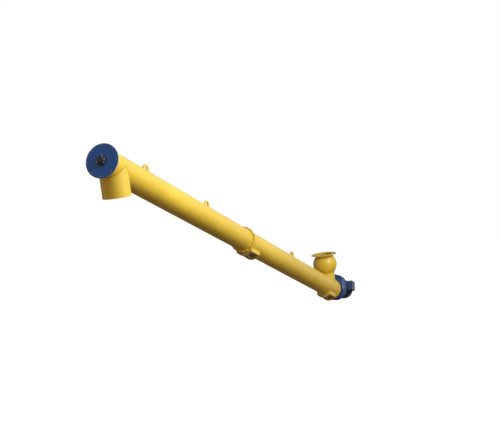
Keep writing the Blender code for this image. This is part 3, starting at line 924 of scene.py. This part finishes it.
class CONVEYOR_OT_tube_sections(Operator):
    """Make the two rolled tube sections with their openings."""

    bl_idname = "conveyor.tube_sections"
    bl_label = "Tube sections"

    def execute(self, context):
        inner = TUBE_RADIUS - TUBE_WALL
        start = PLATE_THICKNESS + GAP
        points = ring_points(TUBE_RADIUS, inner, start, JOINT_STATION - GAP / 2)
        upper = moved(turned("tube_upper", points, 144), ALONG)
        carved(upper, moved(rod("spout_hole", 0.130, -0.2, 0.0, 96), SPOUT))
        finished(upper, "yellow", "upper_tube")

        points = ring_points(TUBE_RADIUS, inner, JOINT_STATION + GAP / 2, TUBE_LENGTH)
        lower = moved(turned("tube_lower", points, 144), ALONG)
        carved(lower, moved(rod("inlet_hole", NECK_BORE, -0.5, -0.25, 96), UPRIGHT))
        for name, station in HATCHES.items():
            half = HATCH_HALF - 2 * HATCH_WALL
            low = (station + 0.020, -half, -0.2)
            high = (station + HATCH_LENGTH - 0.020, half, -0.05)
            carved(lower, moved(block(f"{name}_hole", low, high, 0.0), TUBE))
        finished(lower, "yellow", "lower_tube")
        return {"FINISHED"}


class CONVEYOR_OT_tube_flanges(Operator):
    """Make the flange rings, their welds, bolts and nuts."""

    bl_idname = "conveyor.tube_flanges"
    bl_label = "Tube flanges"

    def execute(self, context):
        sizes = context.scene.conveyor_sizes
        inner = TUBE_RADIUS + GAP
        start = PLATE_THICKNESS + GAP
        thick = FLANGE_THICKNESS
        joint = JOINT_STATION
        spans = {
            "outlet_flange": (OUTLET_FLANGE_RADIUS, start),
            "joint_flange_upper": (JOINT_FLANGE_RADIUS, joint - GAP / 2 - thick),
            "joint_flange_lower": (JOINT_FLANGE_RADIUS, joint + GAP / 2),
            "drive_end_flange": (DRIVE_FLANGE_RADIUS, TUBE_LENGTH - thick),
        }
        for name, (outer, low) in spans.items():
            points = ring_points(outer, inner, low, low + thick, 0.0012)
            lathed(f"{name}_ring", points, "yellow", name)
        edge = TUBE_RADIUS + 0.0022
        weld("flange_welds", [
            round_path(ALONG, edge, start + thick + 0.002),
            round_path(ALONG, edge, joint - thick - 0.002),
            round_path(ALONG, edge, joint + thick + 0.002),
            round_path(ALONG, edge, TUBE_LENGTH - thick - 0.002),
        ])
        head = sizes.bolt_head * 0.80
        count = sizes.joint_bolts
        back = joint - GAP / 2 - thick
        bolts("joint_bolts", JOINT_BOLT_CIRCLE, facing_up(back), head, count=count, seed=2,
              material="weld")
        bolts("joint_nuts", JOINT_BOLT_CIRCLE, at_station(joint + GAP / 2 + thick), head,
              count=count, seed=3, thread=0.005, material="weld")
        bolts("drive_end_bolts", DRIVE_END_BOLT_CIRCLE, facing_up(TUBE_LENGTH - thick), 0.0058,
              count=12, first=math.radians(15.0), seed=4, material="weld")
        return {"FINISHED"}


class CONVEYOR_OT_outlet_end(Operator):
    """Make the round end plate with its bearing housing, cap and bolts."""

    bl_idname = "conveyor.outlet_end"
    bl_label = "Outlet end"

    def execute(self, context):
        sizes = context.scene.conveyor_sizes
        points = [
            (PLATE_RADIUS, 0.0, 0.0015), (PLATE_RADIUS, PLATE_THICKNESS, 0.0015),
            (JOURNAL_BORE, PLATE_THICKNESS), (JOURNAL_BORE, -0.0001),
            (0.072, -0.0001, 0.001), (0.0725, 0.0012, 0.001), (0.0755, 0.0012, 0.001),
            (0.076, 0.0, 0.001),
        ]
        lathed("end_plate", points, "blue", "outlet_end_plate")

        points = [
            (0.054, -GAP, 0.001), (0.054, -0.0135, 0.003), (0.040, -0.0145, 0.004),
            (0.036, -0.020, 0.003), (0.0355, -0.036, 0.003), (JOURNAL_BORE, -0.036),
            (JOURNAL_BORE, -GAP),
        ]
        housing = turned("bearing_body", points, 96)
        for angle in (12.0, 132.0, 252.0):
            turn = Matrix.Rotation(math.radians(180.0 + angle), 4, "Z")
            pad = rod("bolt_pad", 0.0115, -0.0155, -0.004, 32, 0.0015)
            housing = joined("bearing_body", [housing, moved(
                pad, turn @ Matrix.Translation((BEARING_BOLT_CIRCLE, 0.0, 0.0)))])
        finished(moved(housing, ALONG), "cast", "outlet_bearing_housing")

        points = [
            (0.0, -0.0363), (0.032, -0.0363, 0.0005), (0.032, -0.0425, 0.002),
            (0.026, -0.0443, 0.002), (0.012, -0.0443, 0.001), (0.010, -0.0425, 0.001),
            (0.0, -0.0425),
        ]
        lathed("bearing_cap", points, "cast", "outlet_bearing_cap", sides=72, closed=False)

        points = [(0.0, 0.0), (0.0042, 0.0, 0.0004), (0.0042, 0.004), (0.0026, 0.0055),
                  (0.0026, 0.010, 0.001), (0.0018, 0.012, 0.0008), (0.0, 0.0125)]
        lean = Matrix.Rotation(math.radians(180.0 - 48.0), 4, "Z") @ Matrix.Translation(
            (0.0352, 0.0, -0.028)) @ Matrix.Rotation(math.pi / 2, 4, "Y")
        lathed("grease_nipple", points, "zinc", place=ALONG @ lean, sides=24, closed=False)

        bolts("plate_bolts", PLATE_BOLT_CIRCLE, facing_up(0.0), sizes.plate_head, 0.0034,
              count=sizes.plate_bolts, seed=5, washer=False)
        bolts("bearing_bolts", BEARING_BOLT_CIRCLE, facing_up(-0.0155), 0.0078, 0.0050, count=3,
              first=math.radians(-12.0), seed=6)
        behind = at_station(PLATE_THICKNESS + GAP + FLANGE_THICKNESS)
        bolts("outlet_flange_nuts", PLATE_BOLT_CIRCLE, behind, sizes.plate_head,
              count=sizes.plate_bolts, seed=7, thread=0.004)
        return {"FINISHED"}


class CONVEYOR_OT_spout(Operator):
    """Make the open spout and its saddle weld."""

    bl_idname = "conveyor.spout"
    bl_label = "Outlet spout"

    def execute(self, context):
        inner = SPOUT_RADIUS - SPOUT_WALL
        points = ring_points(SPOUT_RADIUS, inner, -SPOUT_DROP, 0.1, 0.0012)
        spout = turned("spout_sleeve", points, 144)
        kept = block("mitre", (0.0, -0.3, -1.0), (1.0, 0.3, 0.0), 0.0)
        carved(spout, moved(kept, Matrix.Rotation(math.pi / 4 + SLOPE / 2, 4, "Y")), "INTERSECT")
        moved(spout, SPOUT)
        clear_of_tube(spout, -0.5, 1.0)
        finished(spout, "yellow", "outlet_spout")

        steep = 1.0 / math.tan(math.pi / 4 - SLOPE / 2)
        shallow = 1.0 / math.tan(math.pi / 4 + SLOPE / 2)
        path = []
        for x, y in circle(SPOUT_RADIUS, 144):
            drop = x * steep if x > 0 else -x * shallow
            path.append(SPOUT @ Vector((x, y, -drop)))
        weld("spout_weld", [path])
        return {"FINISHED"}


# Inlet and lugs


def stub_foot(radius, count=120):
    """Where a vertical stub of a radius meets the tube."""
    points = []
    for x, y in circle(radius, count):
        w = math.sqrt(TUBE_RADIUS ** 2 - y ** 2)
        along = (x - w * math.sin(SLOPE)) / math.cos(SLOPE)
        points.append(TUBE @ Vector((INLET_STATION + along, y, w)))
    return points


class CONVEYOR_OT_ball_inlet(Operator):
    """Make the stub, the hollow ball, the neck and the drilled inlet flange."""

    bl_idname = "conveyor.ball_inlet"
    bl_label = "Ball inlet"

    def execute(self, context):
        reach = math.sqrt(BALL_RADIUS ** 2 - NECK_RADIUS ** 2)
        top = reach - BALL_DEPTH
        bottom = -BALL_DEPTH - reach
        points = ring_points(NECK_RADIUS, NECK_BORE, -0.5, bottom - GAP)
        stub = moved(turned("inlet_stub_pipe", points), UPRIGHT)
        clear_of_tube(stub, 6.5, 7.5)
        carved(stub, moved(block("below_axis", (6.5, -0.3, -0.4), (7.5, 0.3, 0.0), 0.0), TUBE))
        finished(stub, "yellow", "inlet_stub")

        tilt = math.degrees(math.asin(NECK_RADIUS / BALL_RADIUS))
        hollow = BALL_RADIUS - BALL_WALL
        inner_tilt = math.degrees(math.asin(NECK_BORE / hollow))
        centre = (0.0, -BALL_DEPTH)
        points = arc(centre, BALL_RADIUS, 90.0 - tilt, tilt - 90.0, 36)
        points += arc(centre, hollow, inner_tilt - 90.0, 90.0 - inner_tilt, 36)
        lathed("inlet_sphere", points, "yellow", "inlet_ball", place=UPRIGHT)

        foot = -INLET_FLANGE_THICKNESS - GAP
        points = ring_points(NECK_RADIUS, NECK_BORE, top + GAP, foot, 0.0005)
        lathed("inlet_collar", points, "yellow", "inlet_neck", place=UPRIGHT)

        points = ring_points(INLET_FLANGE_RADIUS, NECK_BORE, -INLET_FLANGE_THICKNESS, 0.0, 0.0012)
        flange = turned("inlet_ring", points)
        for x, y in circle(INLET_BOLT_CIRCLE, 16)[1::2]:
            spot = Matrix.Translation((x, y, 0.0))
            carved(flange, moved(rod("bolt_hole", 0.009, -0.02, 0.01, 24), spot))
        finished(moved(flange, UPRIGHT), "yellow", "inlet_flange")

        weld("inlet_welds", [
            stub_foot(NECK_RADIUS + 0.002),
            round_path(UPRIGHT, NECK_RADIUS + 0.0018, bottom - 0.001),
            round_path(UPRIGHT, NECK_RADIUS + 0.0016, top + 0.001),
            round_path(UPRIGHT, NECK_RADIUS + 0.0020, foot - 0.002),
        ])
        weld("ball_seam", [round_path(UPRIGHT, BALL_RADIUS - 0.0008, -BALL_DEPTH, 128)], 0.0020)
        return {"FINISHED"}


class CONVEYOR_OT_lifting_lugs(Operator):
    """Make the three lifting lugs with their welds."""

    bl_idname = "conveyor.lifting_lugs"
    bl_label = "Lifting lugs"

    def execute(self, context):
        foot = TUBE_RADIUS + GAP
        paths = []
        for number, station in enumerate(LUG_STATIONS, start=1):
            crown = arc((0.0, foot + 0.005), LUG_RADIUS, 0, 180, 36)
            outline = [(-LUG_RADIUS, foot), *reversed(crown), (LUG_RADIUS, foot)]
            plate = slab(f"lug_plate_{number}", outline, -LUG_HALF_THICKNESS,
                         LUG_HALF_THICKNESS, 0.0)
            eye = rod("eye", LUG_EYE, -0.05, 0.05, 48)
            carved(plate, moved(eye, Matrix.Translation((0.0, foot + 0.040, 0.0))))
            bevelled(plate, 0.0014, 2, 50.0)
            upright = Matrix.Rotation(math.pi / 2, 4, "X")
            moved(plate, TUBE @ Matrix.Translation((station, 0.0, 0.0)) @ upright)
            finished(plate, "yellow", f"lifting_lug_{number}")
            path = []
            for x, y in [(-0.076, -0.0095), (0.076, -0.0095), (0.076, 0.0095), (-0.076, 0.0095)]:
                path.append(TUBE @ Vector((station + x, y, TUBE_RADIUS + 0.0005)))
            paths.append(path)
        weld("lug_welds", paths)
        return {"FINISHED"}


# Inspection hatches


def sagging(half, top, bottom, count=28):
    """Flat top edge closed by one round belly below it."""
    sag = top - bottom
    radius = (half ** 2 + sag ** 2) / (2 * sag)
    spread = math.degrees(math.asin(min(1.0, half / radius)))
    return arc((0.0, bottom + radius), radius, -90.0 - spread, -90.0 + spread, count)


class CONVEYOR_OT_inspection_hatches(Operator):
    """Make both inspection hatches: frame, cover, clamp and weld."""

    bl_idname = "conveyor.inspection_hatches"
    bl_label = "Inspection hatches"

    def execute(self, context):
        half = HATCH_HALF
        top = -HATCH_DEPTH - GAP
        for name, station in HATCHES.items():
            end = station + HATCH_LENGTH
            walls = block(f"{name}_walls", (station, -half, -HATCH_DEPTH), (end, half, -0.05),
                          0.0022)
            well = block("well", (station + HATCH_WALL, -half + HATCH_WALL, -0.3),
                         (end - HATCH_WALL, half - HATCH_WALL, 0.0), 0.0)
            carved(walls, well)
            moved(walls, TUBE)
            clear_of_tube(walls, station - 0.1, end + 0.1)
            finished(walls, "yellow", f"{name}_frame")

            under = top - COVER_PLATE
            plate = block("plate", (station, -COVER_HALF, under), (end, COVER_HALF, top), 0.0015)
            moved(plate, TUBE)
            outline = sagging(CHEEK_HALF, under + 0.001, -CHEEK_DEPTH)
            near = slab("near", outline, station, station + CHEEK_THICKNESS, 0.0020)
            far = slab("far", outline, end - CHEEK_THICKNESS, end, 0.0020)
            parts = [plate] + [moved(part, ACROSS) for part in (near, far)]
            cover = joined(f"{name}_lid", parts)
            # The covers take the darkened enamel that paints their shade.
            finished(cover, "lid_painted_shade", f"{name}_cover")
            self.clamp(name, station)

            path = []
            for s, first, last in ((station, -1, 1), (end, 1, -1)):
                for k in range(21):
                    u = half * (first + (last - first) * k / 20)
                    w = -math.sqrt((TUBE_RADIUS + 0.001) ** 2 - u ** 2)
                    shift = -0.002 if s == station else 0.002
                    path.append(TUBE @ Vector((s + shift, u * 1.01, w)))
            weld(f"{name}_weld", [path], 0.0038)
        return {"FINISHED"}

    def clamp(self, name, station):
        """Bar between the cheeks, a wing nut at its near end and the knob that clamps the cover.
        """
        start = station + CHEEK_THICKNESS + GAP
        end = station + HATCH_LENGTH - CHEEK_THICKNESS - GAP
        low = at_station(0.0) @ Matrix.Translation((CLAMP_BAR_DEPTH, 0.0, 0.0))
        bar = rod("bar", CLAMP_BAR_RADIUS, start, end, 32, 0.001)
        # The clamp bar, knob and nut take the darkened zinc that paints their shade.
        finished(moved(bar, low), "clamp_zinc_painted_shade", f"{name}_clamp_bar")

        knob_top = -CLAMP_BAR_DEPTH - CLAMP_BAR_RADIUS - GAP
        points = [
            (0.0, knob_top), (0.006, knob_top), (0.007, knob_top - 0.003, 0.001),
            (0.0128, knob_top - 0.005, 0.002), (0.0128, knob_top - 0.012, 0.003),
            (0.007, knob_top - 0.016, 0.002), (0.0, knob_top - 0.016),
        ]
        place = TUBE @ Matrix.Translation((station + KNOB_STATION, 0.0, 0.0))
        lathed("knob", points, "clamp_zinc_painted_shade", f"{name}_clamp_knob", place=place, sides=40,
               closed=False)
        ends = bpy.data.meshes.new("nut_spots")
        ends.from_pydata([(0.0, 0.0, 0.0)], [], [])
        place = at_station(station) @ Matrix.Translation((CLAMP_BAR_DEPTH, 0.0, 0.0))
        planted(f"{name}_bar_nut", wing_nut_tree, "clamp_zinc_painted_shade", place, {
            "Nut Radius": 0.0100, "Nut Depth": 0.006, "Thread Radius": 0.004,
            "Thread Length": 0.009, "Seed": 3}, ends)


# Conveying screw


class CONVEYOR_OT_conveying_screw(Operator):
    """Make the shaft and the helical flight of the screw."""

    bl_idname = "conveyor.conveying_screw"
    bl_label = "Conveying screw"

    def execute(self, context):
        sizes = context.scene.conveyor_sizes
        points = [
            (0.0, JOURNAL_END), (JOURNAL_RADIUS, JOURNAL_END, 0.001),
            (JOURNAL_RADIUS, SHAFT_END, 0.002), (SHAFT_RADIUS, SHAFT_END, 0.002),
            (SHAFT_RADIUS, SHAFT_START, 0.002), (JOURNAL_RADIUS, SHAFT_START, 0.002),
            (JOURNAL_RADIUS, JOURNAL_START, 0.001), (0.0, JOURNAL_START),
        ]
        lathed("screw_pipe", points, "steel", "screw_shaft", sides=64, closed=False)
        values = {
            "Pitch": sizes.flight_pitch, "Turns": 28.0, "Inner Radius": 0.0449,
            "Outer Radius": FLIGHT_RADIUS, "Thickness": FLIGHT_THICKNESS,
            "Material": finish("steel"),
        }
        flight = grown("screw_helix", flight_tree, values)
        moved(flight, at_station(0.063))
        flight.data.shade_smooth()
        flight.data.set_sharp_from_angle(angle=math.radians(35.0))
        hung(flight, "steel", "screw_flight")
        return {"FINISHED"}


# Drive


MOTOR = ALONG @ Matrix.Translation((-MOTOR_RISE, 0.0, 0.0))


class CONVEYOR_OT_gear_case(Operator):
    """Make the adapter, the reducer and its plugs, ribs and bolts."""

    bl_idname = "conveyor.gear_case"
    bl_label = "Gear case"

    def execute(self, context):
        start = TUBE_LENGTH + GAP
        end = start + ADAPTER_THICKNESS
        neck_end = CASE_START - GAP
        outer = DRIVE_FLANGE_RADIUS
        points = [
            (outer, start, 0.001), (outer, end, 0.002), (0.129, end, 0.006),
            (ADAPTER_NECK_RADIUS, end + 0.020, 0.010), (ADAPTER_NECK_RADIUS, neck_end),
            (JOURNAL_BORE, neck_end), (JOURNAL_BORE, start),
        ]
        lathed("drive_adapter", points, "drive", "drive_flange")

        disc_end = CASE_START + CASE_DISC_DEPTH
        outer = CASE_DISC_RADIUS
        points = [
            (0.0, disc_end), (outer, disc_end, 0.004), (outer, CASE_START + CASE_CHAMFER, 0.014),
            (outer - CASE_CHAMFER, CASE_START, 0.010), (0.136, CASE_START, 0.002),
            (0.133, CASE_START + 0.003, 0.002), (0.0, CASE_START + 0.003),
        ]
        disc = turned("front_disc", points, closed=False)
        moved(disc, at_station(0.0) @ Matrix.Translation((-CASE_RISE, 0.0, 0.0)))
        below = block("below", (7.2, -0.3, -0.4), (7.5, 0.3, -CASE_FOOT_DEPTH), 0.0)
        carved(disc, moved(below, TUBE))
        hull = slab("hull", self.outline(0.0), disc_end - 0.010, CASE_END, 0.007, 4)
        split = slab("split", self.outline(0.004), CASE_END - 0.048, CASE_END - 0.034, 0.002)
        case = joined("gear_housing", [disc, moved(hull, ACROSS), moved(split, ACROSS)])
        finished(case, "drive", "gear_case")

        planted("adapter_gussets", rib_tree, "drive", ALONG, {
            "Count": 8, "First Angle": math.radians(22.5), "Step Angle": math.pi / 4,
            "Inner Radius": 0.120, "Outer Radius": 0.143, "Start": end - 0.002,
            "Length": neck_end - end + 0.004, "Thickness": 0.010})
        bolts("adapter_nuts", DRIVE_BOLT_CIRCLE, at_station(end), 0.0085, count=8, seed=8)
        ring = at_station(CASE_START) @ Matrix.Translation((-CASE_RISE, 0.0, 0.0))
        bolts("case_front_bolts", DRIVE_BOLT_CIRCLE, ring @ Matrix.Rotation(math.pi, 4, "Y"),
              0.0070, count=10, seed=9, material="drive")
        self.plugs()
        return {"FINISHED"}

    def outline(self, extra):
        """Round foot and round crown of the case, made wider by an extra margin."""
        points = arc((0.0, CASE_RISE), CASE_RADIUS + extra, 180.0, 360.0, 40)
        return points + arc((0.0, CASE_CROWN_RISE), CASE_CROWN_RADIUS + extra, 0.0, 180.0, 40)

    def plugs(self):
        """Filler, level and drain plugs in bosses on the case."""
        middle = CASE_START + 0.100
        crown = CASE_CROWN_RISE + CASE_CROWN_RADIUS
        spots = {
            "filler_plug": (0.0, crown - 0.001, 0.0),
            "drain_plug": (0.0, CASE_RISE - CASE_RADIUS + 0.006, 180.0),
            "level_plug": (-CASE_RADIUS + 0.003, 0.040, 90.0),
        }
        for name, (across, above, turn) in spots.items():
            boss = rod("boss", 0.016, -0.006, 0.005, 32, 0.0015)
            plug = turned("plug", [(0.0, 0.004), (0.011, 0.004), (0.011, 0.013, 0.002),
                                   (0.0, 0.013)], 6, closed=False, steps=2)
            body = joined(name, [boss, plug])
            lean = Matrix.Rotation(math.radians(turn), 4, "X")
            moved(body, TUBE @ Matrix.Translation((middle, across, above)) @ lean)
            finished(body, "drive")


class CONVEYOR_OT_motor(Operator):
    """Make the finned motor with its end shield, cowl and guard."""

    bl_idname = "conveyor.motor"
    bl_label = "Motor"

    def execute(self, context):
        sizes = context.scene.conveyor_sizes
        flange = CASE_END + GAP
        points = [
            (0.0, flange), (MOTOR_FLANGE_RADIUS, flange, 0.002),
            (MOTOR_FLANGE_RADIUS, MOTOR_START - 0.004, 0.003),
            (0.140, MOTOR_START, 0.003), (0.126, MOTOR_START + 0.014, 0.006),
            (0.126, MOTOR_START + 0.028, 0.002), (0.1175, MOTOR_START + 0.030, 0.002),
            (0.1175, COWL_START - 0.022, 0.002), (0.128, COWL_START - 0.020, 0.003),
            (0.128, COWL_START - GAP, 0.002), (0.0, COWL_START - GAP),
        ]
        lathed("motor_frame", points, "motor", "motor_body", place=MOTOR, closed=False)

        planted("motor_fins", rib_tree, "motor", MOTOR, {
            "Count": sizes.fins, "First Angle": 0.0, "Step Angle": 2 * math.pi / sizes.fins,
            "Inner Radius": 0.116, "Outer Radius": 0.1312, "Start": MOTOR_START + 0.032,
            "Length": COWL_START - MOTOR_START - 0.056, "Thickness": sizes.fin_thickness})

        wall = 0.0016
        points = [
            (COWL_RADIUS, COWL_START, 0.0005), (COWL_RADIUS, COWL_END - 0.007, 0.003),
            (0.133, COWL_END - 0.001, 0.002), (0.112, COWL_END - 0.001, 0.002),
            (0.110, COWL_END - 0.004, 0.001),
            (0.110 - wall, COWL_END - 0.004 - wall), (0.132 - wall, COWL_END - 0.004),
            (0.138 - wall, COWL_END - 0.010),
            (COWL_RADIUS - wall, COWL_START),
        ]
        lathed("fan_cowl", points, "sheet", "motor_fan_cowl", place=MOTOR)
        planted("cowl_guard", grille_tree, "sheet",
                MOTOR @ Matrix.Translation((0.0, 0.0, COWL_END - 0.0035)), {
                    "Rings": 8, "Inner Radius": 0.030, "Ring Step": 0.0112,
                    "Wire Radius": 0.0014, "Spokes": 6, "Outer Radius": 0.111})
        points = [(0.0, COWL_END - 0.006), (0.032, COWL_END - 0.006),
                  (0.032, COWL_END - 0.001, 0.002), (0.0, COWL_END - 0.0005)]
        lathed("guard_hub", points, "sheet", place=MOTOR, sides=48, closed=False)
        points = [(0.0, COWL_END - 0.046), (0.134, COWL_END - 0.046),
                  (0.134, COWL_END - 0.040), (0.0, COWL_END - 0.040)]
        lathed("fan_backing", points, "rubber", place=MOTOR, sides=64, closed=False)
        face = MOTOR @ Matrix.Translation((0, 0, MOTOR_START - 0.003))
        bolts("motor_flange_bolts", MOTOR_BOLT_CIRCLE, face, 0.0085, count=4,
              first=math.pi / 4, seed=10)
        self.eyebolt()
        return {"FINISHED"}

    def eyebolt(self):
        """Lifting eye on the crown of the motor."""
        bpy.ops.mesh.primitive_torus_add(major_radius=0.015, minor_radius=0.0045,
                                         major_segments=40, minor_segments=14)
        ring = bpy.context.active_object
        ring.name = "eye_ring"
        moved(ring, Matrix.Translation((0.0, 0.0, 0.024)) @ Matrix.Rotation(math.pi / 2, 4, "X"))
        foot = rod("eye_foot", 0.011, -0.002, 0.006, 32, 0.001)
        neck = rod("eye_neck", 0.006, 0.004, 0.012, 24)
        eye = joined("motor_eyebolt", [ring, foot, neck])
        place = TUBE @ Matrix.Translation((MOTOR_START + 0.105, 0.0, MOTOR_RISE + 0.131))
        finished(moved(eye, place), "zinc")


class CONVEYOR_OT_terminal_box(Operator):
    """Make the terminal box on the motor with its lid, screws and glands."""

    bl_idname = "conveyor.terminal_box"
    bl_label = "Terminal box"

    def execute(self, context):
        low, high = BOX_LOW, BOX_HIGH
        shell = block("shell", (low.x + 0.003, low.y + 0.028, low.z + 0.003),
                      (high.x - 0.003, high.y, high.z - 0.003), 0.010, 4)
        carved(shell, moved(rod("motor", 0.1180, 7.4, 7.8, 96), TUBE.inverted() @ MOTOR))
        lid = block("lid", (low.x, low.y, low.z), (high.x, low.y + 0.026, high.z), 0.009, 4)
        rim = block("rim", (low.x, low.y + 0.021, low.z), (high.x, low.y + 0.0265, high.z),
                    0.0015, 2)
        finished(moved(joined("terminal_lid", [lid, rim]), TUBE), "drive")
        finished(moved(shell, TUBE), "motor", "motor_terminal_box")
        seal = block("lid_seal", (low.x + 0.002, low.y + 0.0262, low.z + 0.002),
                     (high.x - 0.002, low.y + 0.0290, high.z - 0.002), 0.0005, 2)
        finished(moved(seal, TUBE), "rubber")

        screws = []
        for s in (low.x + 0.016, high.x - 0.016):
            for w in (low.z + 0.016, high.z - 0.016):
                points = [(0.0, 0.0), (0.006, 0.0), (0.006, 0.0030, 0.001), (0.0, 0.0034)]
                head = turned("screw_head", points, 20, closed=False)
                turn = Matrix.Rotation(math.pi / 2, 4, "X")
                place = Matrix.Translation((s, low.y + 0.0036, w)) @ turn
                screws.append(moved(head, place))
        finished(moved(joined("lid_screws", screws), TUBE), "zinc")

        glands = []
        for s in (7.625, 7.675):
            points = [(0.0, 0.004), (0.013, 0.004), (0.013, -0.004, 0.001),
                      (0.016, -0.004, 0.001), (0.016, -0.015, 0.0015), (0.012, -0.018, 0.002),
                      (0.010, -0.024, 0.002), (0.0, -0.024)]
            gland = turned("gland", points, 18, closed=False, steps=2)
            glands.append(moved(gland, Matrix.Translation((s, -0.155, low.z))))
        finished(moved(joined("cable_glands", glands), TUBE), "rubber")
        return {"FINISHED"}


# Studio


class CONVEYOR_OT_studio(Operator):
    """Set the camera of the photograph, the floor, the soft sky and the key light."""

    bl_idname = "conveyor.studio"
    bl_label = "Studio"

    def execute(self, context):
        self.camera(context)
        self.floor(context)
        self.sky(context)
        self.key(context)
        context.scene.view_settings.view_transform = "Standard"
        return {"FINISHED"}

    def camera(self, context):
        """Camera at the photograph's angle."""
        right = Vector(CAMERA_RIGHT).normalized()
        down = Vector(CAMERA_DOWN).normalized()
        back = right.cross(-down).normalized()
        up = back.cross(right)
        data = bpy.data.cameras.new("photo_camera")
        data.lens = CAMERA_LENS
        data.sensor_width = 36.0
        data.clip_end = 300.0
        camera = bpy.data.objects.new("photo_camera", data)
        matrix = Matrix((right, up, back)).transposed().to_4x4()
        matrix.translation = CAMERA_PLACE
        camera.matrix_world = matrix
        context.scene.collection.objects.link(camera)
        context.scene.camera = camera

    def floor(self, context):
        """Wide pale floor that shines softly, so that it meets the white sky unseen."""
        level = context.scene.conveyor_studio.floor_level
        bm = bmesh.new()
        bmesh.ops.create_circle(bm, cap_ends=True, radius=4000.0, segments=128)
        for face in bm.faces:
            if face.normal.z < 0:
                face.normal_flip()
        mesh = bpy.data.meshes.new("studio_floor")
        bm.to_mesh(mesh)
        bm.free()
        floor = new_object("studio_floor", mesh)
        moved(floor, Matrix.Translation((0.0, 0.0, level)))
        p = Paint("studio_floor")
        tone = p.mix(p.noise(0.6, 3.0), (0.93, 0.93, 0.93), (0.95, 0.95, 0.95))
        p.set(Base_Color=tone, Roughness=0.9, Normal=p.bump(p.noise(30.0, 3.0), 0.0005))
        p.set(Emission_Color=(1.0, 1.0, 1.0), Emission_Strength=0.75)
        floor.data.materials.append(p.material)
        floor.visible_diffuse = False
        floor.visible_glossy = False

    def sky(self, context):
        """White backdrop for the camera, and a dim warm fill with a glow round the key light."""
        looks = context.scene.conveyor_studio
        world = bpy.data.worlds.new("studio_air")
        world.use_nodes = True
        g = Graph(world.node_tree)
        g.tree.nodes.clear()
        place = g.out("ShaderNodeTexCoord", output="Generated")
        level = g.out("ShaderNodeSeparateXYZ", {0: place}, "Z")
        height = g.out("ShaderNodeMapRange", {"Value": level, "From Min": -1.0})
        ramp = g.node("ShaderNodeValToRGB", {0: height})
        elements = ramp.color_ramp.elements
        elements[0].position = FILL_STOPS[0][0]
        elements[1].position = FILL_STOPS[-1][0]
        for position, _ in FILL_STOPS[1:-1]:
            elements.new(position)
        for element, (_, value) in zip(elements, FILL_STOPS):
            element.color = (*value, 1.0)
        light = g.out("ShaderNodeBackground", {"Color": ramp.outputs[0], "Strength": looks.fill})
        for direction, edge, value in GLOWS:
            toward = g.out("ShaderNodeVectorMath", {0: place, 1: Vector(direction).normalized()},
                           "Value", operation="DOT_PRODUCT")
            lobe = g.out("ShaderNodeMapRange", {
                "Value": toward, "From Min": edge, "To Max": looks.glow},
                interpolation_type="SMOOTHSTEP")
            glow = g.out("ShaderNodeBackground", {"Color": value, "Strength": lobe})
            light = g.out("ShaderNodeAddShader", {0: light, 1: glow})
        white = g.out("ShaderNodeBackground", {"Color": (1.0, 1.0, 1.0)})
        seen = g.out("ShaderNodeLightPath", output="Is Camera Ray")
        pick = g.out("ShaderNodeMixShader", {0: seen, 1: light, 2: white})
        g.node("ShaderNodeOutputWorld", {"Surface": pick})
        context.scene.world = world

    def key(self, context):
        """Large soft light beside the upper end, to the right of the camera."""
        target = TUBE @ Vector(KEY_TARGET)
        direction = Vector(KEY_DIRECTION).normalized()
        data = bpy.data.lights.new("key_light", "AREA")
        data.shape = "DISK"
        data.size = KEY_SIZE
        data.spread = KEY_SPREAD
        data.energy = context.scene.conveyor_studio.key
        data.color = (0.97, 1.0, 0.94)
        light = bpy.data.objects.new("key_light", data)
        light.location = target + direction * KEY_DISTANCE
        light.rotation_euler = direction.to_track_quat("Z", "Y").to_euler()
        light.visible_camera = False
        context.scene.collection.objects.link(light)


class CONVEYOR_PT_pieces(Panel):
    """Lists the settings and the pieces in the sidebar."""

    bl_idname = "CONVEYOR_PT_pieces"
    bl_label = "Screw conveyor"
    bl_space_type = "VIEW_3D"
    bl_region_type = "UI"
    bl_category = "Conveyor"

    def draw(self, context):
        layout = self.layout
        for group in ("conveyor_paint", "conveyor_sizes", "conveyor_studio"):
            box = layout.box()
            settings = getattr(context.scene, group)
            for key in settings.__annotations__:
                box.prop(settings, key)
        for operator in OPERATORS:
            layout.operator(operator.bl_idname)


OPERATORS = (
    CONVEYOR_OT_studio,
    CONVEYOR_OT_tube_sections,
    CONVEYOR_OT_tube_flanges,
    CONVEYOR_OT_outlet_end,
    CONVEYOR_OT_spout,
    CONVEYOR_OT_ball_inlet,
    CONVEYOR_OT_lifting_lugs,
    CONVEYOR_OT_inspection_hatches,
    CONVEYOR_OT_conveying_screw,
    CONVEYOR_OT_gear_case,
    CONVEYOR_OT_motor,
    CONVEYOR_OT_terminal_box,
)
GROUPS = {
    "conveyor_paint": ConveyorPaint,
    "conveyor_sizes": ConveyorSizes,
    "conveyor_studio": ConveyorStudio,
}


CLASSES = (*GROUPS.values(), *OPERATORS, CONVEYOR_PT_pieces)


def register():
    """Register the settings, the operators and the panel."""
    for item in CLASSES:
        bpy.utils.register_class(item)
    for name, group in GROUPS.items():
        setattr(bpy.types.Scene, name, PointerProperty(type=group))


def unregister():
    """Remove them again."""
    for name in GROUPS:
        delattr(bpy.types.Scene, name)
    for item in reversed(CLASSES):
        bpy.utils.unregister_class(item)


def main():
    """Register everything and make every piece in order."""
    register()
    for operator in OPERATORS:
        name = operator.bl_idname.split(".")[1]
        getattr(bpy.ops.conveyor, name)()


if __name__ == "__main__":
    main()
